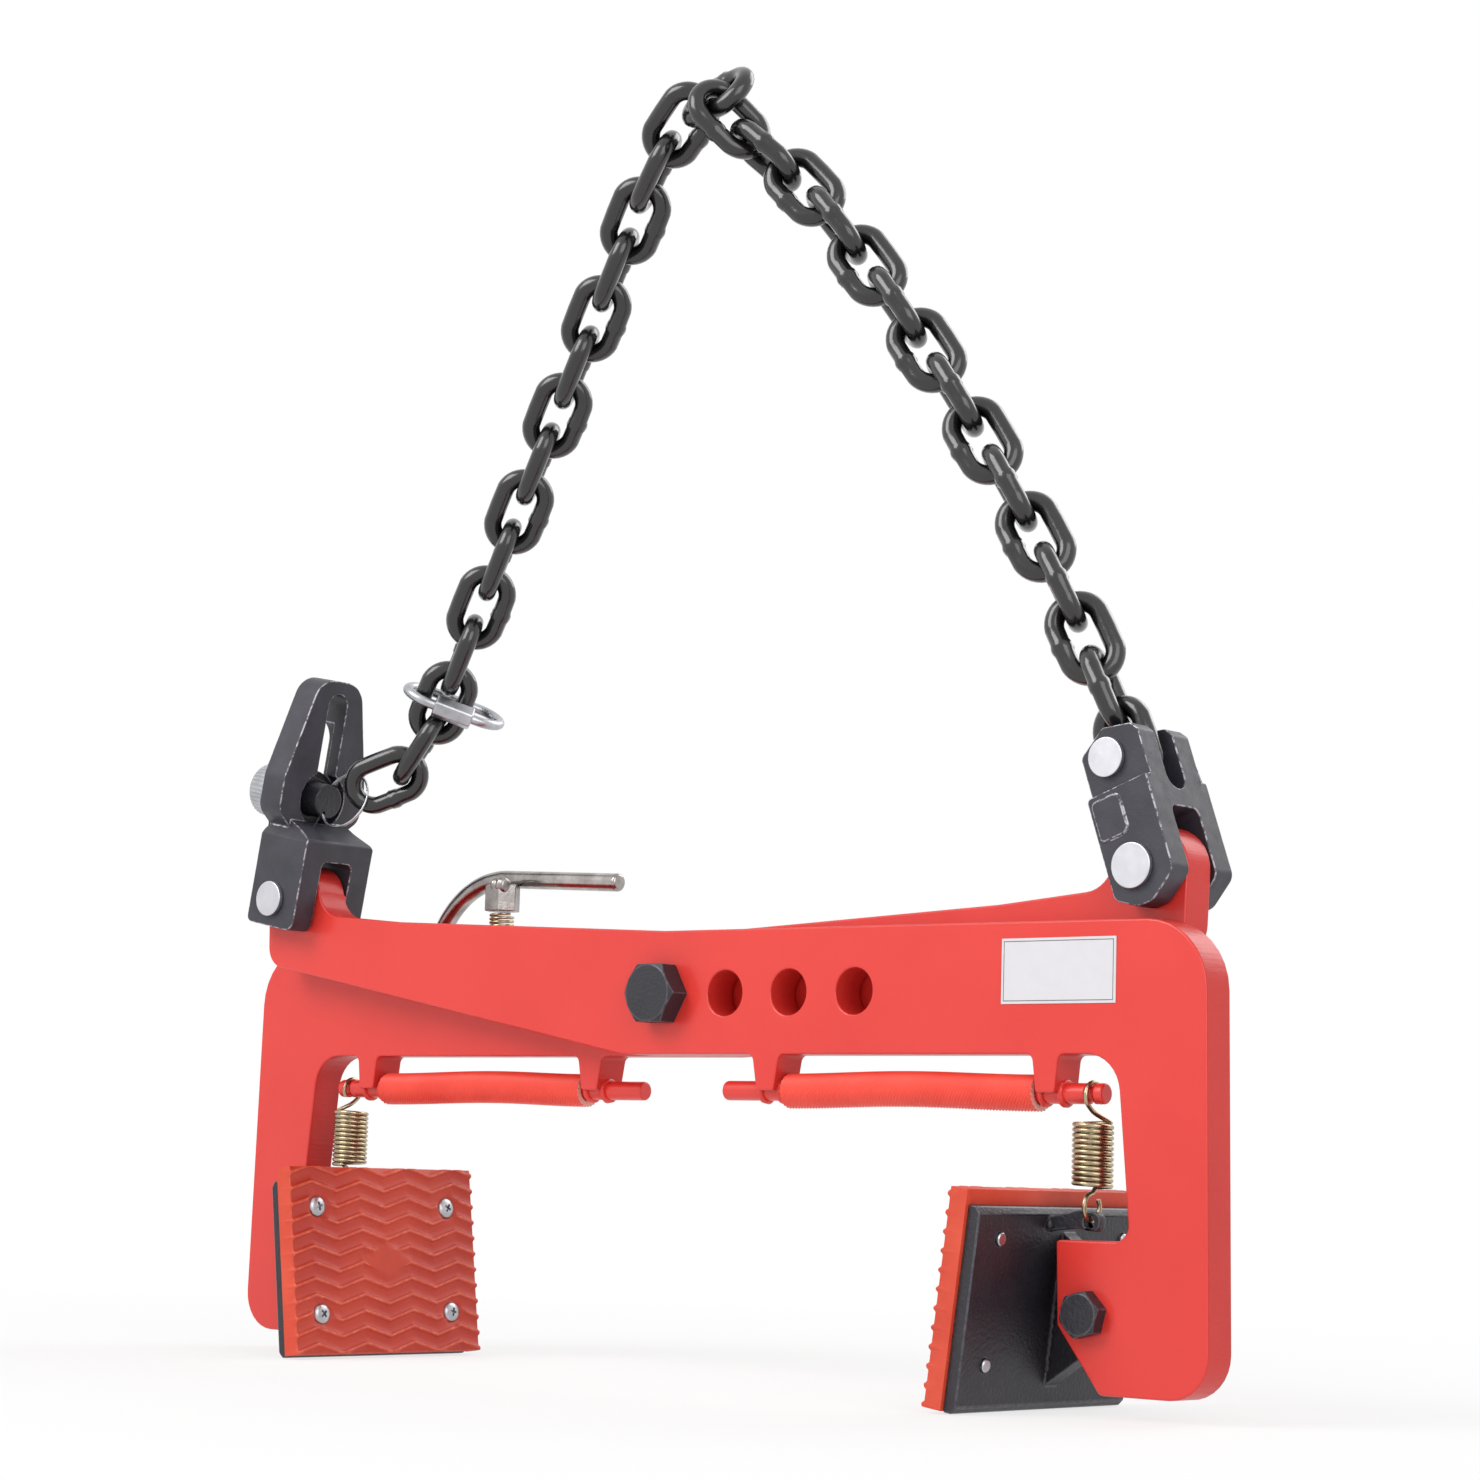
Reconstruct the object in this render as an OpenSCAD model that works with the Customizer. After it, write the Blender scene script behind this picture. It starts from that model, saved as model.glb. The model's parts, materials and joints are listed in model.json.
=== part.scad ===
// Lifting clamp for stone slabs and kerbs, all sizes in millimetres.
// Two bent steel arms cross on one main bolt like a pair of scissors. Each arm
// carries a rubber gripping pad at its foot and a lug at its other end. A chain
// joins the two lugs over the top, so the load itself pulls the pads together.
// The origin lies on the floor under the main bolt. X runs to the right pad, Y
// runs away from the front arm, Z is up. The clamp stands on its pads, fully open.

/* [Arms] */
// Height of the main bolt above the floor
pivot_height = 158.8; // [150:0.1:175]
// Thickness of both bent arms
plate_thickness = 16; // [10:0.5:20]
// Free space between the two arms
plate_gap = 1; // [0.6:0.1:3]
// Diameter of the four holes for the main bolt
hole_diameter = 18.6; // [16.6:0.1:22]
// Distance from one hole to the next
hole_spacing = 34; // [30:0.5:40]
// Outer radius of the lug that carries the chain
lug_radius = 16.5; // [14:0.5:20]

/* [Main bolt] */
// Diameter of the main bolt
bolt_diameter = 16; // [12:1:20]
// Width of its head and nut across the flats
bolt_head_width = 24; // [18:1:30]
// Height of its head
bolt_head_height = 10; // [6:0.5:14]

/* [Handles] */
// Diameter of the round bar under each arm
rod_diameter = 8; // [6:0.5:10]
// Outer diameter of the ribbed sleeve
sleeve_diameter = 14.3; // [11:0.1:18]
// Length of the sleeve
sleeve_length = 125; // [80:1:126]

/* [Pads] */
// Width of the rubber face
pad_width = 111; // [80:1:140]
// Height of the rubber face
pad_height = 82; // [60:1:84]
// Thickness of the rubber without its ribs
rubber_thickness = 8; // [5:0.5:12]
// Height of the zigzag ribs on the rubber
rib_height = 1.3; // [0.5:0.1:3]
// Thickness of the steel plate behind the rubber
carrier_thickness = 5.7; // [4:0.1:8]
// Lean of the open pads, bottoms toward the middle
pad_tilt = 7.5; // [0:0.5:12]

/* [Springs] */
// Outer diameter of the pad springs
spring_diameter = 16; // [10:0.5:18]
// Diameter of their wire
spring_wire = 2; // [1:0.1:2.5]

/* [Chain] */
// Diameter of the chain steel
link_wire = 8; // [6:0.5:9]
// Length of the opening in a link
link_inside = 24.3; // [18:0.1:28]
// Outer width of a link
link_width = 27; // [22:0.5:30]

/* [Chain fittings] */
// Width of both forks, across their cheeks
fork_width = 41; // [36:0.5:46]
// Width of the slot that takes a lug
fork_slot = 18; // [16.6:0.2:20]
// Diameter of the hinge pins in the lugs
lug_pin_diameter = 14; // [10:1:16]
// Diameter of the pin that holds the last link
link_pin_diameter = 10; // [8:0.5:10.5]
// Diameter of the big hole in the keyhole loop
keyhole_diameter = 26; // [20:0.5:28]
// Width of the slot above that hole
keyhole_slot = 11; // [9:0.5:12]
// Diameter of the end of the locking plunger
plunger_diameter = 16; // [12:0.5:18]

/* [Latch] */
// Diameter of the bent lever
lever_diameter = 8; // [6:0.5:10]

/* [Hidden] */
$fn = 64;
play = 0.05;

// The middle of the front arm. The back arm is the same plate, half a turn round.
arm_front = -plate_gap / 2 - plate_thickness;
arm_back = -plate_gap / 2;
arm_mid = (arm_front + arm_back) / 2;

// Named points of an arm, in the upright plane, from the main bolt.
lug_pin = [-232, 45.5];
pad_bolt = [217.2, -121.2];
rod_level = -39.5;
rod_ends = [30.5, 219];
rod_groove = 213;
beam_bottom = -25;

// The pad, in its own frame: X toward the arm, Z up along the rubber face.
face_depth = 41.8;
carrier_back = face_depth - rubber_thickness - rib_height;
pad_screw_y = 39.5;
pad_screw_z = 23.5;
spring_ear = [-8.6, 32.8];
pad_lug_front = arm_back + 0.1;
pad_lug_back = 8;
pad_bolt_diameter = 10;

// The left fitting leans to the right and the right fitting to the left.
loop_lean = 10.9;
coupling_lean = 19.5;
coupling_pin_distance = 44.5;
loop_back = -14.7;
loop_front = -0.3;
keyhole_z = 47.5;

// Each leg of the chain leaves its base along first and bends toward side,
// by so many degrees at every link. Points are taken from the main bolt.
link_pitch = link_inside - 0.3;
leg_links = 11;
left_base = [-167.9, 7.5, 125];
left_first = [0.4792, -0.0157, 0.8776];
left_side = [0.6274, -0.6931, -0.3549];
left_bend = 1.304;
right_base = [210.25, 8.5, 104.9];
right_first = [-0.439, -0.0309, 0.898];
right_side = [0.8449, 0.3259, 0.4242];
right_bend = -1.366;

// Outlines

function unit(v) = v / norm(v);

// The arc that rounds the corner at b, between its neighbours a and c.
function corner_arc(a, b, c, radius, steps) =
    let (
        p = unit(a - b),
        q = unit(c - b),
        half = acos(p * q) / 2,
        centre = b + unit(p + q) * radius / sin(half),
        first = b + p * radius / tan(half) - centre,
        start = atan2(first.y, first.x),
        turn = sign(cross(b - a, c - b)) * (180 - 2 * half)
    )
    [for (i = [0:steps]) centre + radius * [cos(start + turn * i / steps), sin(start + turn * i / steps)]];

// An outline whose corners are given as x, y and corner radius.
function rounded(corners, steps = 8) =
    let (n = len(corners), flat = [for (c = corners) [c.x, c.y]])
    [for (i = [0:n - 1])
        each corners[i].z == 0 ? [flat[i]]
            : corner_arc(flat[(i + n - 1) % n], flat[i], flat[(i + 1) % n], corners[i].z, steps)];

// Stands a flat outline upright and gives it thickness from front to back.
module slab(front, back) {
    translate([0, back, 0])
        rotate([90, 0, 0])
            linear_extrude(back - front)
                children();
}

// A round bar along Y, from front to back.
module bar_y(diameter, front, back, at = [0, 0]) {
    translate([at.x, back, at.y])
        rotate([90, 0, 0])
            cylinder(d = diameter, h = back - front);
}

// A round bar along X, from left to right.
module bar_x(diameter, left, right) {
    translate([left, 0, 0])
        rotate([0, 90, 0])
            cylinder(d = diameter, h = right - left);
}

// A hexagon with the corners of its top turned off, along Z.
module hexagon(width, height, chamfer = 1.2) {
    corner = width / cos(30) / 2;
    intersection() {
        cylinder(r = corner, h = height, $fn = 6);
        rotate_extrude()
            polygon([
                [0, 0],
                [corner + 0.2, 0],
                [corner + 0.2, height - chamfer],
                [width / 2 - 0.4, height],
                [0, height]
            ]);
    }
}

// Frames: the front arm stands as drawn, the back arm is half a turn round.

module front_side() {
    translate([0, 0, pivot_height])
        children();
}

module back_side() {
    translate([0, 0, pivot_height])
        rotate([0, 0, 180])
            children();
}

// Arms

// The bent plate from its lug, along the beam and down the leg to the foot.
arm_corners = [
    [-246.5, 16.5, 10],
    [-22, beam_bottom, 60],
    [49.6, beam_bottom, 3],
    [52.2, rod_level, 0],
    [61.2, rod_level, 0],
    [63.8, beam_bottom, 3],
    [189.4, beam_bottom, 3],
    [191.4, rod_level, 0],
    [200.2, rod_level, 0],
    [201.8, beam_bottom, 3],
    [228.6, beam_bottom, 15],
    [235.4, -94, 6],
    [202.4, -94.2, 1.5],
    [203.4, -125.6, 2],
    [223, -150.5, 3],
    [270.8, -150.5, 17],
    [267.5, 25.2, 27],
    [0, 26.2, 80],
    [-160, 33.9, 60],
    [-212.5, 38.6, 14],
    [lug_pin.x + lug_radius, lug_pin.y + lug_radius, lug_radius - 0.1],
    [lug_pin.x - lug_radius, lug_pin.y + lug_radius, lug_radius - 0.1]
];

module arm() {
    difference() {
        slab(arm_front, arm_back)
            polygon(rounded(arm_corners));
        for (i = [0:3])
            bar_y(hole_diameter, arm_front - 1, arm_back + 1, [i * hole_spacing, 0]);
        bar_y(lug_pin_diameter + 2 * play, arm_front - 1, arm_back + 1, lug_pin);
        bar_y(pad_bolt_diameter + 2 * play, arm_front - 1, arm_back + 1, pad_bolt);
        translate([0, arm_mid, rod_level])
            bar_x(rod_diameter, 45, 206);
    }
}

module front_arm() {
    color("firebrick")
        front_side()
            arm();
}

module back_arm() {
    color("firebrick")
        difference() {
            back_side()
                arm();
            front_side() {
                bar_y(8 + 2 * play, -arm_back - 1, -arm_front + 1, lever_pivot);
                translate([latch_nut_at.x, latch_nut_at.y, 18])
                    cylinder(d = 7 + 2 * play, h = 12);
            }
        }
}

module label_plate() {
    color("whitesmoke")
        front_side()
            slab(arm_front - 0.4, arm_front)
                translate([175, -6])
                    square([53, 25]);
}

// Main bolt

washer_thickness = 3;
nut_height = 13;

module pivot_bolt() {
    color("dimgray")
        front_side() {
            translate([0, arm_front, 0])
                rotate([90, 0, 0])
                    hexagon(bolt_head_width, bolt_head_height, 1.6);
            bar_y(bolt_diameter, arm_front, -arm_front + washer_thickness + nut_height + 4);
        }
}

module pivot_bush() {
    color("silver")
        front_side()
            difference() {
                bar_y(hole_diameter - 2 * play, arm_front + play, -arm_front - play);
                bar_y(bolt_diameter + 2 * play, arm_front - 1, -arm_front + 1);
            }
}

module pivot_spacer() {
    color("silver")
        front_side()
            difference() {
                bar_y(34, arm_back + play, -arm_back - play);
                bar_y(hole_diameter, arm_back - 1, -arm_back + 1);
            }
}

module pivot_nut() {
    color("dimgray")
        front_side()
            difference() {
                union() {
                    bar_y(32, -arm_front + play, -arm_front + washer_thickness);
                    translate([0, -arm_front + washer_thickness, 0])
                        rotate([-90, 0, 0])
                            hexagon(bolt_head_width, nut_height, 1.6);
                }
                bar_y(bolt_diameter + 2 * play, 0, 60);
            }
}

// Handles

module handle_rod() {
    groove_half = 1.7;
    translate([0, arm_mid, rod_level]) {
        bar_x(rod_diameter, rod_ends.x, rod_groove - groove_half);
        bar_x(rod_diameter - 2, rod_groove - groove_half, rod_groove + groove_half);
        bar_x(rod_diameter, rod_groove + groove_half, rod_ends.y);
    }
}

module handle_sleeve() {
    translate([0, arm_mid, rod_level])
        difference() {
            bar_x(sleeve_diameter, 64, 64 + sleeve_length);
            bar_x(rod_diameter + 0.6, 60, 66 + sleeve_length);
        }
}

module front_handle_rod() {
    color("firebrick")
        front_side()
            handle_rod();
}

module back_handle_rod() {
    color("firebrick")
        back_side()
            handle_rod();
}

module front_handle_sleeve() {
    color("orangered")
        front_side()
            handle_sleeve();
}

module back_handle_sleeve() {
    color("orangered")
        back_side()
            handle_sleeve();
}

// Pads

module pad_frame() {
    translate([pad_bolt.x, 0, pad_bolt.y])
        rotate([0, pad_tilt, 0])
            children();
}

// Steel plate, hinge lug beside the foot, and the ear that the spring pulls.
module pad_carrier() {
    front = -carrier_back;
    back = carrier_thickness - carrier_back;
    pad_frame()
        difference() {
            union() {
                slab(-pad_width / 2 + 1.5, pad_width / 2 - 1.5)
                    polygon([
                        [front, -41.5],
                        [back - 2, -41.5],
                        [back, -39],
                        [back, 33],
                        [back - 2, 35.5],
                        [front, 35.5]
                    ]);
                slab(pad_lug_front, pad_lug_back) {
                    circle(r = 13);
                    polygon([
                        [back - 1, 27],
                        [-4, 12.3],
                        [-4, -12.3],
                        [back - 1, -33]
                    ]);
                }
                slab(arm_mid - 2, arm_mid + 2)
                    polygon(rounded([
                        [back - 1, 26.5, 0],
                        [-14, 29.8, 2],
                        [-3.5, 29.8, 2.5],
                        [-3.5, 37, 3],
                        [-13, 37.2, 3],
                        [back - 1, 32, 0]
                    ]));
            }
            bar_y(pad_bolt_diameter + 2 * play, pad_lug_front - 1, pad_lug_back + 1);
            bar_y(4.6, arm_mid - 4, arm_mid + 4, spring_ear);
            pad_screw_places()
                cylinder(d = 5.1, h = 30);
        }
}

// Four places on the rubber face, each with Z running into the pad.
module pad_screw_places() {
    for (y = [-pad_screw_y, pad_screw_y])
        for (z = [-pad_screw_z, pad_screw_z])
            translate([-face_depth, y, z])
                rotate([0, 90, 0])
                    children();
}

// One zigzag rib across the rubber, as a flat band.
module zigzag(level) {
    teeth = 4;
    pitch = 29;
    rise = 4.2;
    band = 3.6;
    low = [for (i = [-teeth:teeth]) [i * pitch / 2, level + (i % 2 == 0 ? 0 : rise)]];
    polygon(concat(low, [for (i = [len(low) - 1:-1:0]) low[i] + [0, band]]));
}

module pad_rubber() {
    face = -face_depth + rib_height;
    pad_frame()
        difference() {
            union() {
                slab(-pad_width / 2, pad_width / 2)
                    translate([face, -pad_height / 2])
                        square([rubber_thickness, pad_height]);
                intersection() {
                    translate([-face_depth, 0, 0])
                        rotate([90, 0, 90])
                            linear_extrude(rib_height + 1) {
                                difference() {
                                    for (row = [-6:5])
                                        zigzag(row * 7.1);
                                    for (y = [-pad_screw_y, pad_screw_y])
                                        for (z = [-pad_screw_z, pad_screw_z])
                                            translate([y, z])
                                                circle(d = 12);
                                }
                                polygon([[-17, 0], [0, -9.5], [17, 0], [0, 9.5]]);
                            }
                    slab(-pad_width / 2 + 0.5, pad_width / 2 - 0.5)
                        translate([-face_depth - 1, -pad_height / 2 + 0.5])
                            square([12, pad_height - 1]);
                }
            }
            pad_screw_places() {
                cylinder(d = 5.1, h = 30);
                cylinder(d = 9.7, h = 2.9);
            }
        }
}

module pad_screws() {
    pad_frame()
        pad_screw_places() {
            translate([0, 0, 0.9])
                cylinder(d = 9.4, h = 2);
            translate([0, 0, 2.9])
                cylinder(d = 5, h = face_depth - carrier_back + carrier_thickness - 1.7);
        }
}

module pad_hinge_bolt() {
    translate([pad_bolt.x, 0, pad_bolt.y]) {
        translate([0, arm_front, 0])
            rotate([90, 0, 0])
                rotate([0, 0, 15])
                    hexagon(16, 6.4);
        bar_y(pad_bolt_diameter, arm_front, pad_lug_back + 11);
    }
}

module pad_hinge_nut() {
    translate([pad_bolt.x, 0, pad_bolt.y])
        difference() {
            translate([0, pad_lug_back + play, 0])
                rotate([-90, 0, 0])
                    hexagon(16, 8);
            bar_y(pad_bolt_diameter + 2 * play, 0, 30);
        }
}

// Close wound spring between the handle rod and the ear of the pad.
module pad_spring() {
    coils = 12;
    coil_radius = (spring_diameter - spring_wire) / 2;
    hook_radius = 5;
    top = rod_level + (rod_diameter - 2) / 2 + spring_wire / 2 + 0.2 - hook_radius;
    ear_level = pad_bolt.y + spring_ear.y * cos(pad_tilt) - spring_ear.x * sin(pad_tilt);
    low = ear_level + hook_radius + 0.8;
    body_top = -50;
    body_low = body_top - coils * spring_wire;
    translate([rod_groove, arm_mid, 0]) {
        translate([0, 0, body_low])
            rotate_extrude() {
                for (i = [0:coils])
                    translate([coil_radius, i * spring_wire])
                        circle(d = spring_wire * 1.06);
            }
        for (hook = [[top, body_top, 1], [low, body_low, -1]]) {
            translate([0, 0, hook.x])
                rotate([0, 90, 0])
                    rotate_extrude()
                        translate([hook_radius, 0])
                            circle(d = spring_wire);
            translate([0, 0, hook.y])
                mirror([0, 0, hook.z > 0 ? 0 : 1])
                    cylinder(d = spring_wire, h = abs(hook.x - hook.y) - hook_radius);
            translate([0, 0, hook.y])
                rotate([90, 0, 0])
                    cylinder(d = spring_wire, h = coil_radius);
        }
    }
}

module right_pad_carrier() {
    color("dimgray")
        front_side()
            pad_carrier();
}

module right_pad_rubber() {
    color("orangered")
        front_side()
            pad_rubber();
}

module right_pad_screws() {
    color("silver")
        front_side()
            pad_screws();
}

module right_pad_bolt() {
    color("dimgray")
        front_side()
            pad_hinge_bolt();
}

module right_pad_nut() {
    color("dimgray")
        front_side()
            pad_hinge_nut();
}

module right_pad_spring() {
    color("goldenrod")
        front_side()
            pad_spring();
}

module left_pad_carrier() {
    color("dimgray")
        back_side()
            pad_carrier();
}

module left_pad_rubber() {
    color("orangered")
        back_side()
            pad_rubber();
}

module left_pad_screws() {
    color("silver")
        back_side()
            pad_screws();
}

module left_pad_bolt() {
    color("dimgray")
        back_side()
            pad_hinge_bolt();
}

module left_pad_nut() {
    color("dimgray")
        back_side()
            pad_hinge_nut();
}

module left_pad_spring() {
    color("goldenrod")
        back_side()
            pad_spring();
}

// Left chain fitting

module loop_frame() {
    translate([lug_pin.x, arm_mid, pivot_height + lug_pin.y])
        rotate([0, loop_lean, 0])
            children();
}

// Fork on the front arm's lug, with a keyhole loop standing across it.
module keyhole_fork() {
    half = fork_width / 2;
    slot_height = 44;
    pocket_height = 27;
    pocket_width = 21;
    pocket_depth = 7.4;
    color("dimgray")
        loop_frame()
            difference() {
                union() {
                    intersection() {
                        slab(-half, half)
                            polygon(rounded([
                                [-14.6, -12.5, 3],
                                [17, -12.5, 5],
                                [17.4, 30, 2],
                                [0, 37, 4],
                                [-10, 37, 3],
                                [-14.6, 31, 3]
                            ]));
                        translate([-20, 0, 0])
                            rotate([90, 0, 90])
                                linear_extrude(42)
                                    polygon([
                                        [-half, -14],
                                        [half, -14],
                                        [half, 28.5],
                                        [17, 34],
                                        [17, 38],
                                        [-17, 38],
                                        [-17, 34],
                                        [-half, 28.5]
                                    ]);
                    }
                    translate([loop_back, 0, 0])
                        rotate([90, 0, 90])
                            linear_extrude(loop_front - loop_back)
                                polygon(rounded([
                                    [-17, 27, 0],
                                    [17, 27, 0],
                                    [17.5, 34, 2],
                                    [24.8, 40, 8],
                                    [24.8, 56, 14],
                                    [12.5, 103, 11],
                                    [-12.5, 103, 11],
                                    [-24.8, 56, 14],
                                    [-24.8, 40, 8],
                                    [-17.5, 34, 2]
                                ]));
                }
                translate([-20, 0, 0])
                    rotate([90, 0, 90])
                        linear_extrude(40)
                            polygon(rounded([
                                [-fork_slot / 2, -14, 0],
                                [fork_slot / 2, -14, 0],
                                [fork_slot / 2, 20.5, 3],
                                [-fork_slot / 2, 20.5, 3]
                            ]));
                bar_y(lug_pin_diameter + 2 * play, -half - 1, half + 1);
                translate([0, 0, keyhole_z])
                    bar_x(keyhole_diameter, loop_back - 1, loop_front + 1);
                translate([0, 0, keyhole_z + slot_height])
                    bar_x(keyhole_slot, loop_back - 1, loop_front + 1);
                translate([loop_back - 1, -keyhole_slot / 2, keyhole_z])
                    cube([loop_front - loop_back + 2, keyhole_slot, slot_height]);
                // Behind, the slot opens into a wide pocket.
                translate([0, 0, keyhole_z + pocket_height])
                    bar_x(pocket_width, loop_back - 1, loop_back + pocket_depth);
                translate([loop_back - 1, -pocket_width / 2, keyhole_z])
                    cube([pocket_depth + 1, pocket_width, pocket_height]);
            }
}

// A hinge pin with a flat head at each end, along Y about its middle.
module headed_pin(diameter, head, width) {
    end = width / 2 + play;
    bar_y(diameter, -end, end);
    bar_y(head, -end - 2.4, -end);
    bar_y(head, end, end + 2.4);
}

module keyhole_fork_pin() {
    color("silver")
        loop_frame()
            headed_pin(lug_pin_diameter, 16, fork_width);
}

// The plunger fills the keyhole with its collar. A ring goes through its end.
module locking_plunger() {
    nose = plunger_diameter / 2;
    collar = keyhole_diameter / 2 - play;
    color("gray")
        loop_frame()
            difference() {
                translate([0, 0, keyhole_z])
                    rotate([0, 90, 0])
                        rotate_extrude()
                            polygon([
                                [0, -39],
                                [11, -39],
                                [12, -38],
                                [12, -23],
                                [11, -22],
                                [6, -22],
                                [6, -14.7],
                                [collar, -14.7],
                                [collar, -8],
                                [nose, -8],
                                [nose, 4],
                                [nose - 0.6, 4.6],
                                [0, 4.6]
                            ]);
                ring_path(ring_wire + 0.8);
            }
}

ring_radius = 13.4;
ring_wire = 1.6;
ring_hole_x = 0.9;
ring_tilt = -20;
ring_rise = -10;

// The path of the split ring, through the end of the plunger, as a round wire.
module ring_path(wire) {
    translate([ring_hole_x, 0, keyhole_z])
        rotate([ring_tilt, 0, 0])
            rotate([0, ring_rise, 0])
                translate([ring_radius, 0, 0])
                    rotate([90, 0, 0])
                        rotate_extrude()
                            translate([ring_radius, 0])
                                circle(d = wire);
}

module split_ring() {
    color("silver")
        loop_frame()
            ring_path(ring_wire);
}

// Right chain fitting

module coupling_frame() {
    translate([-lug_pin.x, -arm_mid, pivot_height + lug_pin.y])
        rotate([0, -coupling_lean, 0])
            children();
}

// Double fork: the wide end takes the back arm's lug, the narrow end a link.
module chain_coupling() {
    half = fork_width / 2;
    narrow = half - 3.5;
    upper = coupling_pin_distance;
    color("dimgray")
        coupling_frame()
            difference() {
                union() {
                    slab(-half, half)
                        polygon(rounded([
                            [-12.3, -9.5, 4],
                            [-3, -15.4, 6],
                            [4, -15.4, 6],
                            [16.2, -7.5, 5],
                            [16.2, 31.5, 1],
                            [-12.3, 31.5, 2]
                        ]));
                    slab(-narrow, narrow)
                        polygon(rounded([
                            [-11.8, 20, 0],
                            [16.2, 20, 0],
                            [16.2, upper + 5.5, 3],
                            [13.5, upper + 9, 2],
                            [1, upper + 12, 3],
                            [-11.8, upper + 4.5, 3]
                        ]));
                    slab(-half - 1, half + 1)
                        polygon(rounded([
                            [-10.5, 13, 2],
                            [2.5, 13, 3],
                            [2.5, 29, 3],
                            [-10.5, 29, 2]
                        ]));
                }
                translate([-20, 0, 0])
                    rotate([90, 0, 90])
                        linear_extrude(45) {
                            polygon(rounded([
                                [-fork_slot / 2, -18, 0],
                                [fork_slot / 2, -18, 0],
                                [fork_slot / 2, 19.5, 3],
                                [-fork_slot / 2, 19.5, 3]
                            ]));
                            polygon(rounded([
                                [-6, 27, 5.9],
                                [6, 27, 5.9],
                                [6, 70, 0],
                                [-6, 70, 0]
                            ]));
                        }
                bar_y(lug_pin_diameter + 2 * play, -half - 2, half + 2);
                bar_y(link_pin_diameter + 2 * play, -half - 2, half + 2, [0, upper]);
            }
}

module coupling_lug_pin() {
    color("silver")
        coupling_frame()
            headed_pin(lug_pin_diameter, 17.5, fork_width);
}

module coupling_link_pin() {
    color("silver")
        coupling_frame()
            translate([0, 0, coupling_pin_distance])
                headed_pin(link_pin_diameter, 15.5, fork_width - 7);
}

// Chain

// One link about its middle, upright in the plane of X and Z.
module chain_link(wire, inside, width) {
    bow = (width - wire) / 2;
    straight = inside / 2 + wire / 2 - bow;
    for (end = [0, 180])
        rotate([0, end, 0])
            translate([0, 0, straight])
                rotate([90, 0, 0])
                    rotate_extrude(angle = 180, start = 0)
                        translate([bow, 0])
                            circle(d = wire);
    for (side = [-bow, bow])
        translate([side, 0, -straight])
            cylinder(d = wire, h = 2 * straight);
}

// A link pulled from point a to point b and turned about that line.
module link_between(a, b, turn) {
    along = unit(b - a);
    translate((a + b) / 2)
        rotate([0, acos(along.z), atan2(along.y, along.x)])
            rotate([0, 0, turn])
                chain_link(link_wire, link_inside, link_width);
}

// The way link i of a leg points, and the point where it meets the one before.
function leg_way(first, side, bend, i) = first * cos(bend * i) + side * sin(bend * i);

function leg_point(base, first, side, bend, i) =
    i == 0
        ? base
        : leg_point(base, first, side, bend, i - 1)
            + link_pitch * leg_way(first, side, bend, i - 1);

// The third link from the left carries the quick link.
left_turn = 50;
right_turn = 24;

module left_chain_leg() {
    color("dimgray")
        front_side() {
            // The first two swing round from the keyhole to the foot of the leg.
            link_between([-199.55, -4.78, 96.82], [-180.55, 5.47, 105.26], 19.3);
            link_between([-181.38, 4.67, 106.18], [-167.88, 7.51, 125.05], 119);
            for (i = [0:leg_links - 1])
                link_between(
                    leg_point(left_base, left_first, left_side, left_bend, i),
                    leg_point(left_base, left_first, left_side, left_bend, i + 1),
                    left_turn + 90 * (i % 2)
                );
            // The last two stand a little off the curve, on the way to the top link.
            link_between([-24.11, -17.49, 344.18], [-7.93, -21.85, 361.38], 137.6);
            link_between([-8.58, -21.76, 361.94], [9.26, -23.38, 377.9], 43.1);
        }
}

link_pin_point = [
    -lug_pin.x - coupling_pin_distance * sin(coupling_lean),
    -arm_mid,
    lug_pin.y + coupling_pin_distance * cos(coupling_lean)
];

module right_chain_leg() {
    way = unit(right_base - link_pin_point);
    color("dimgray")
        front_side() {
            link_between(right_base - way * (link_pitch - 0.5), right_base, 0);
            for (i = [0:leg_links - 1])
                link_between(
                    leg_point(right_base, right_first, right_side, right_bend, i),
                    leg_point(right_base, right_first, right_side, right_bend, i + 1),
                    i == 0 ? 102 : right_turn + 90 * ((i + 1) % 2)
                );
            // The last three come up from the curve and over into the top link.
            link_between([69.06, -9.33, 326.58], [52.8, -13.07, 343.84], 21);
            link_between([51.87, -13.23, 342.79], [34.79, -19.33, 358.51], 113.9);
            link_between([36.14, -18.62, 358.35], [24.16, -31.52, 374.67], 22);
        }
}

module top_link() {
    color("dimgray")
        front_side()
            link_between([9.44, -20.86, 377.18], [33.04, -24.52, 379.46], 146);
}

// Quick link: an oval of thin bar round the third link, closed by a long nut.

quick_wire = 4.5;
quick_length = 49;
quick_width = 27;
quick_nut_length = 18;

module quick_frame() {
    middle = left_base + left_first * link_pitch / 2;
    translate([0, 0, pivot_height])
        translate(middle)
            rotate([0, acos(left_first.z), atan2(left_first.y, left_first.x)])
                rotate([0, 0, left_turn])
                    translate([5.2, 1.65, 0])
                        rotate([0, 90, 0])
                            children();
}

module quick_link() {
    bow = (quick_width - quick_wire) / 2;
    straight = (quick_length - quick_width) / 2;
    color("silver")
        quick_frame() {
            for (end = [0, 180])
                rotate([end, 0, 0])
                    translate([0, 0, straight])
                        rotate([0, -90, 0])
                            rotate_extrude(angle = 180, start = -90)
                                translate([bow, 0])
                                    circle(d = quick_wire);
            translate([0, bow, -straight])
                cylinder(d = quick_wire, h = 2 * straight);
            for (end = [-straight, 5])
                translate([0, -bow, end])
                    cylinder(d = quick_wire, h = straight - 5);
        }
}

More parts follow.
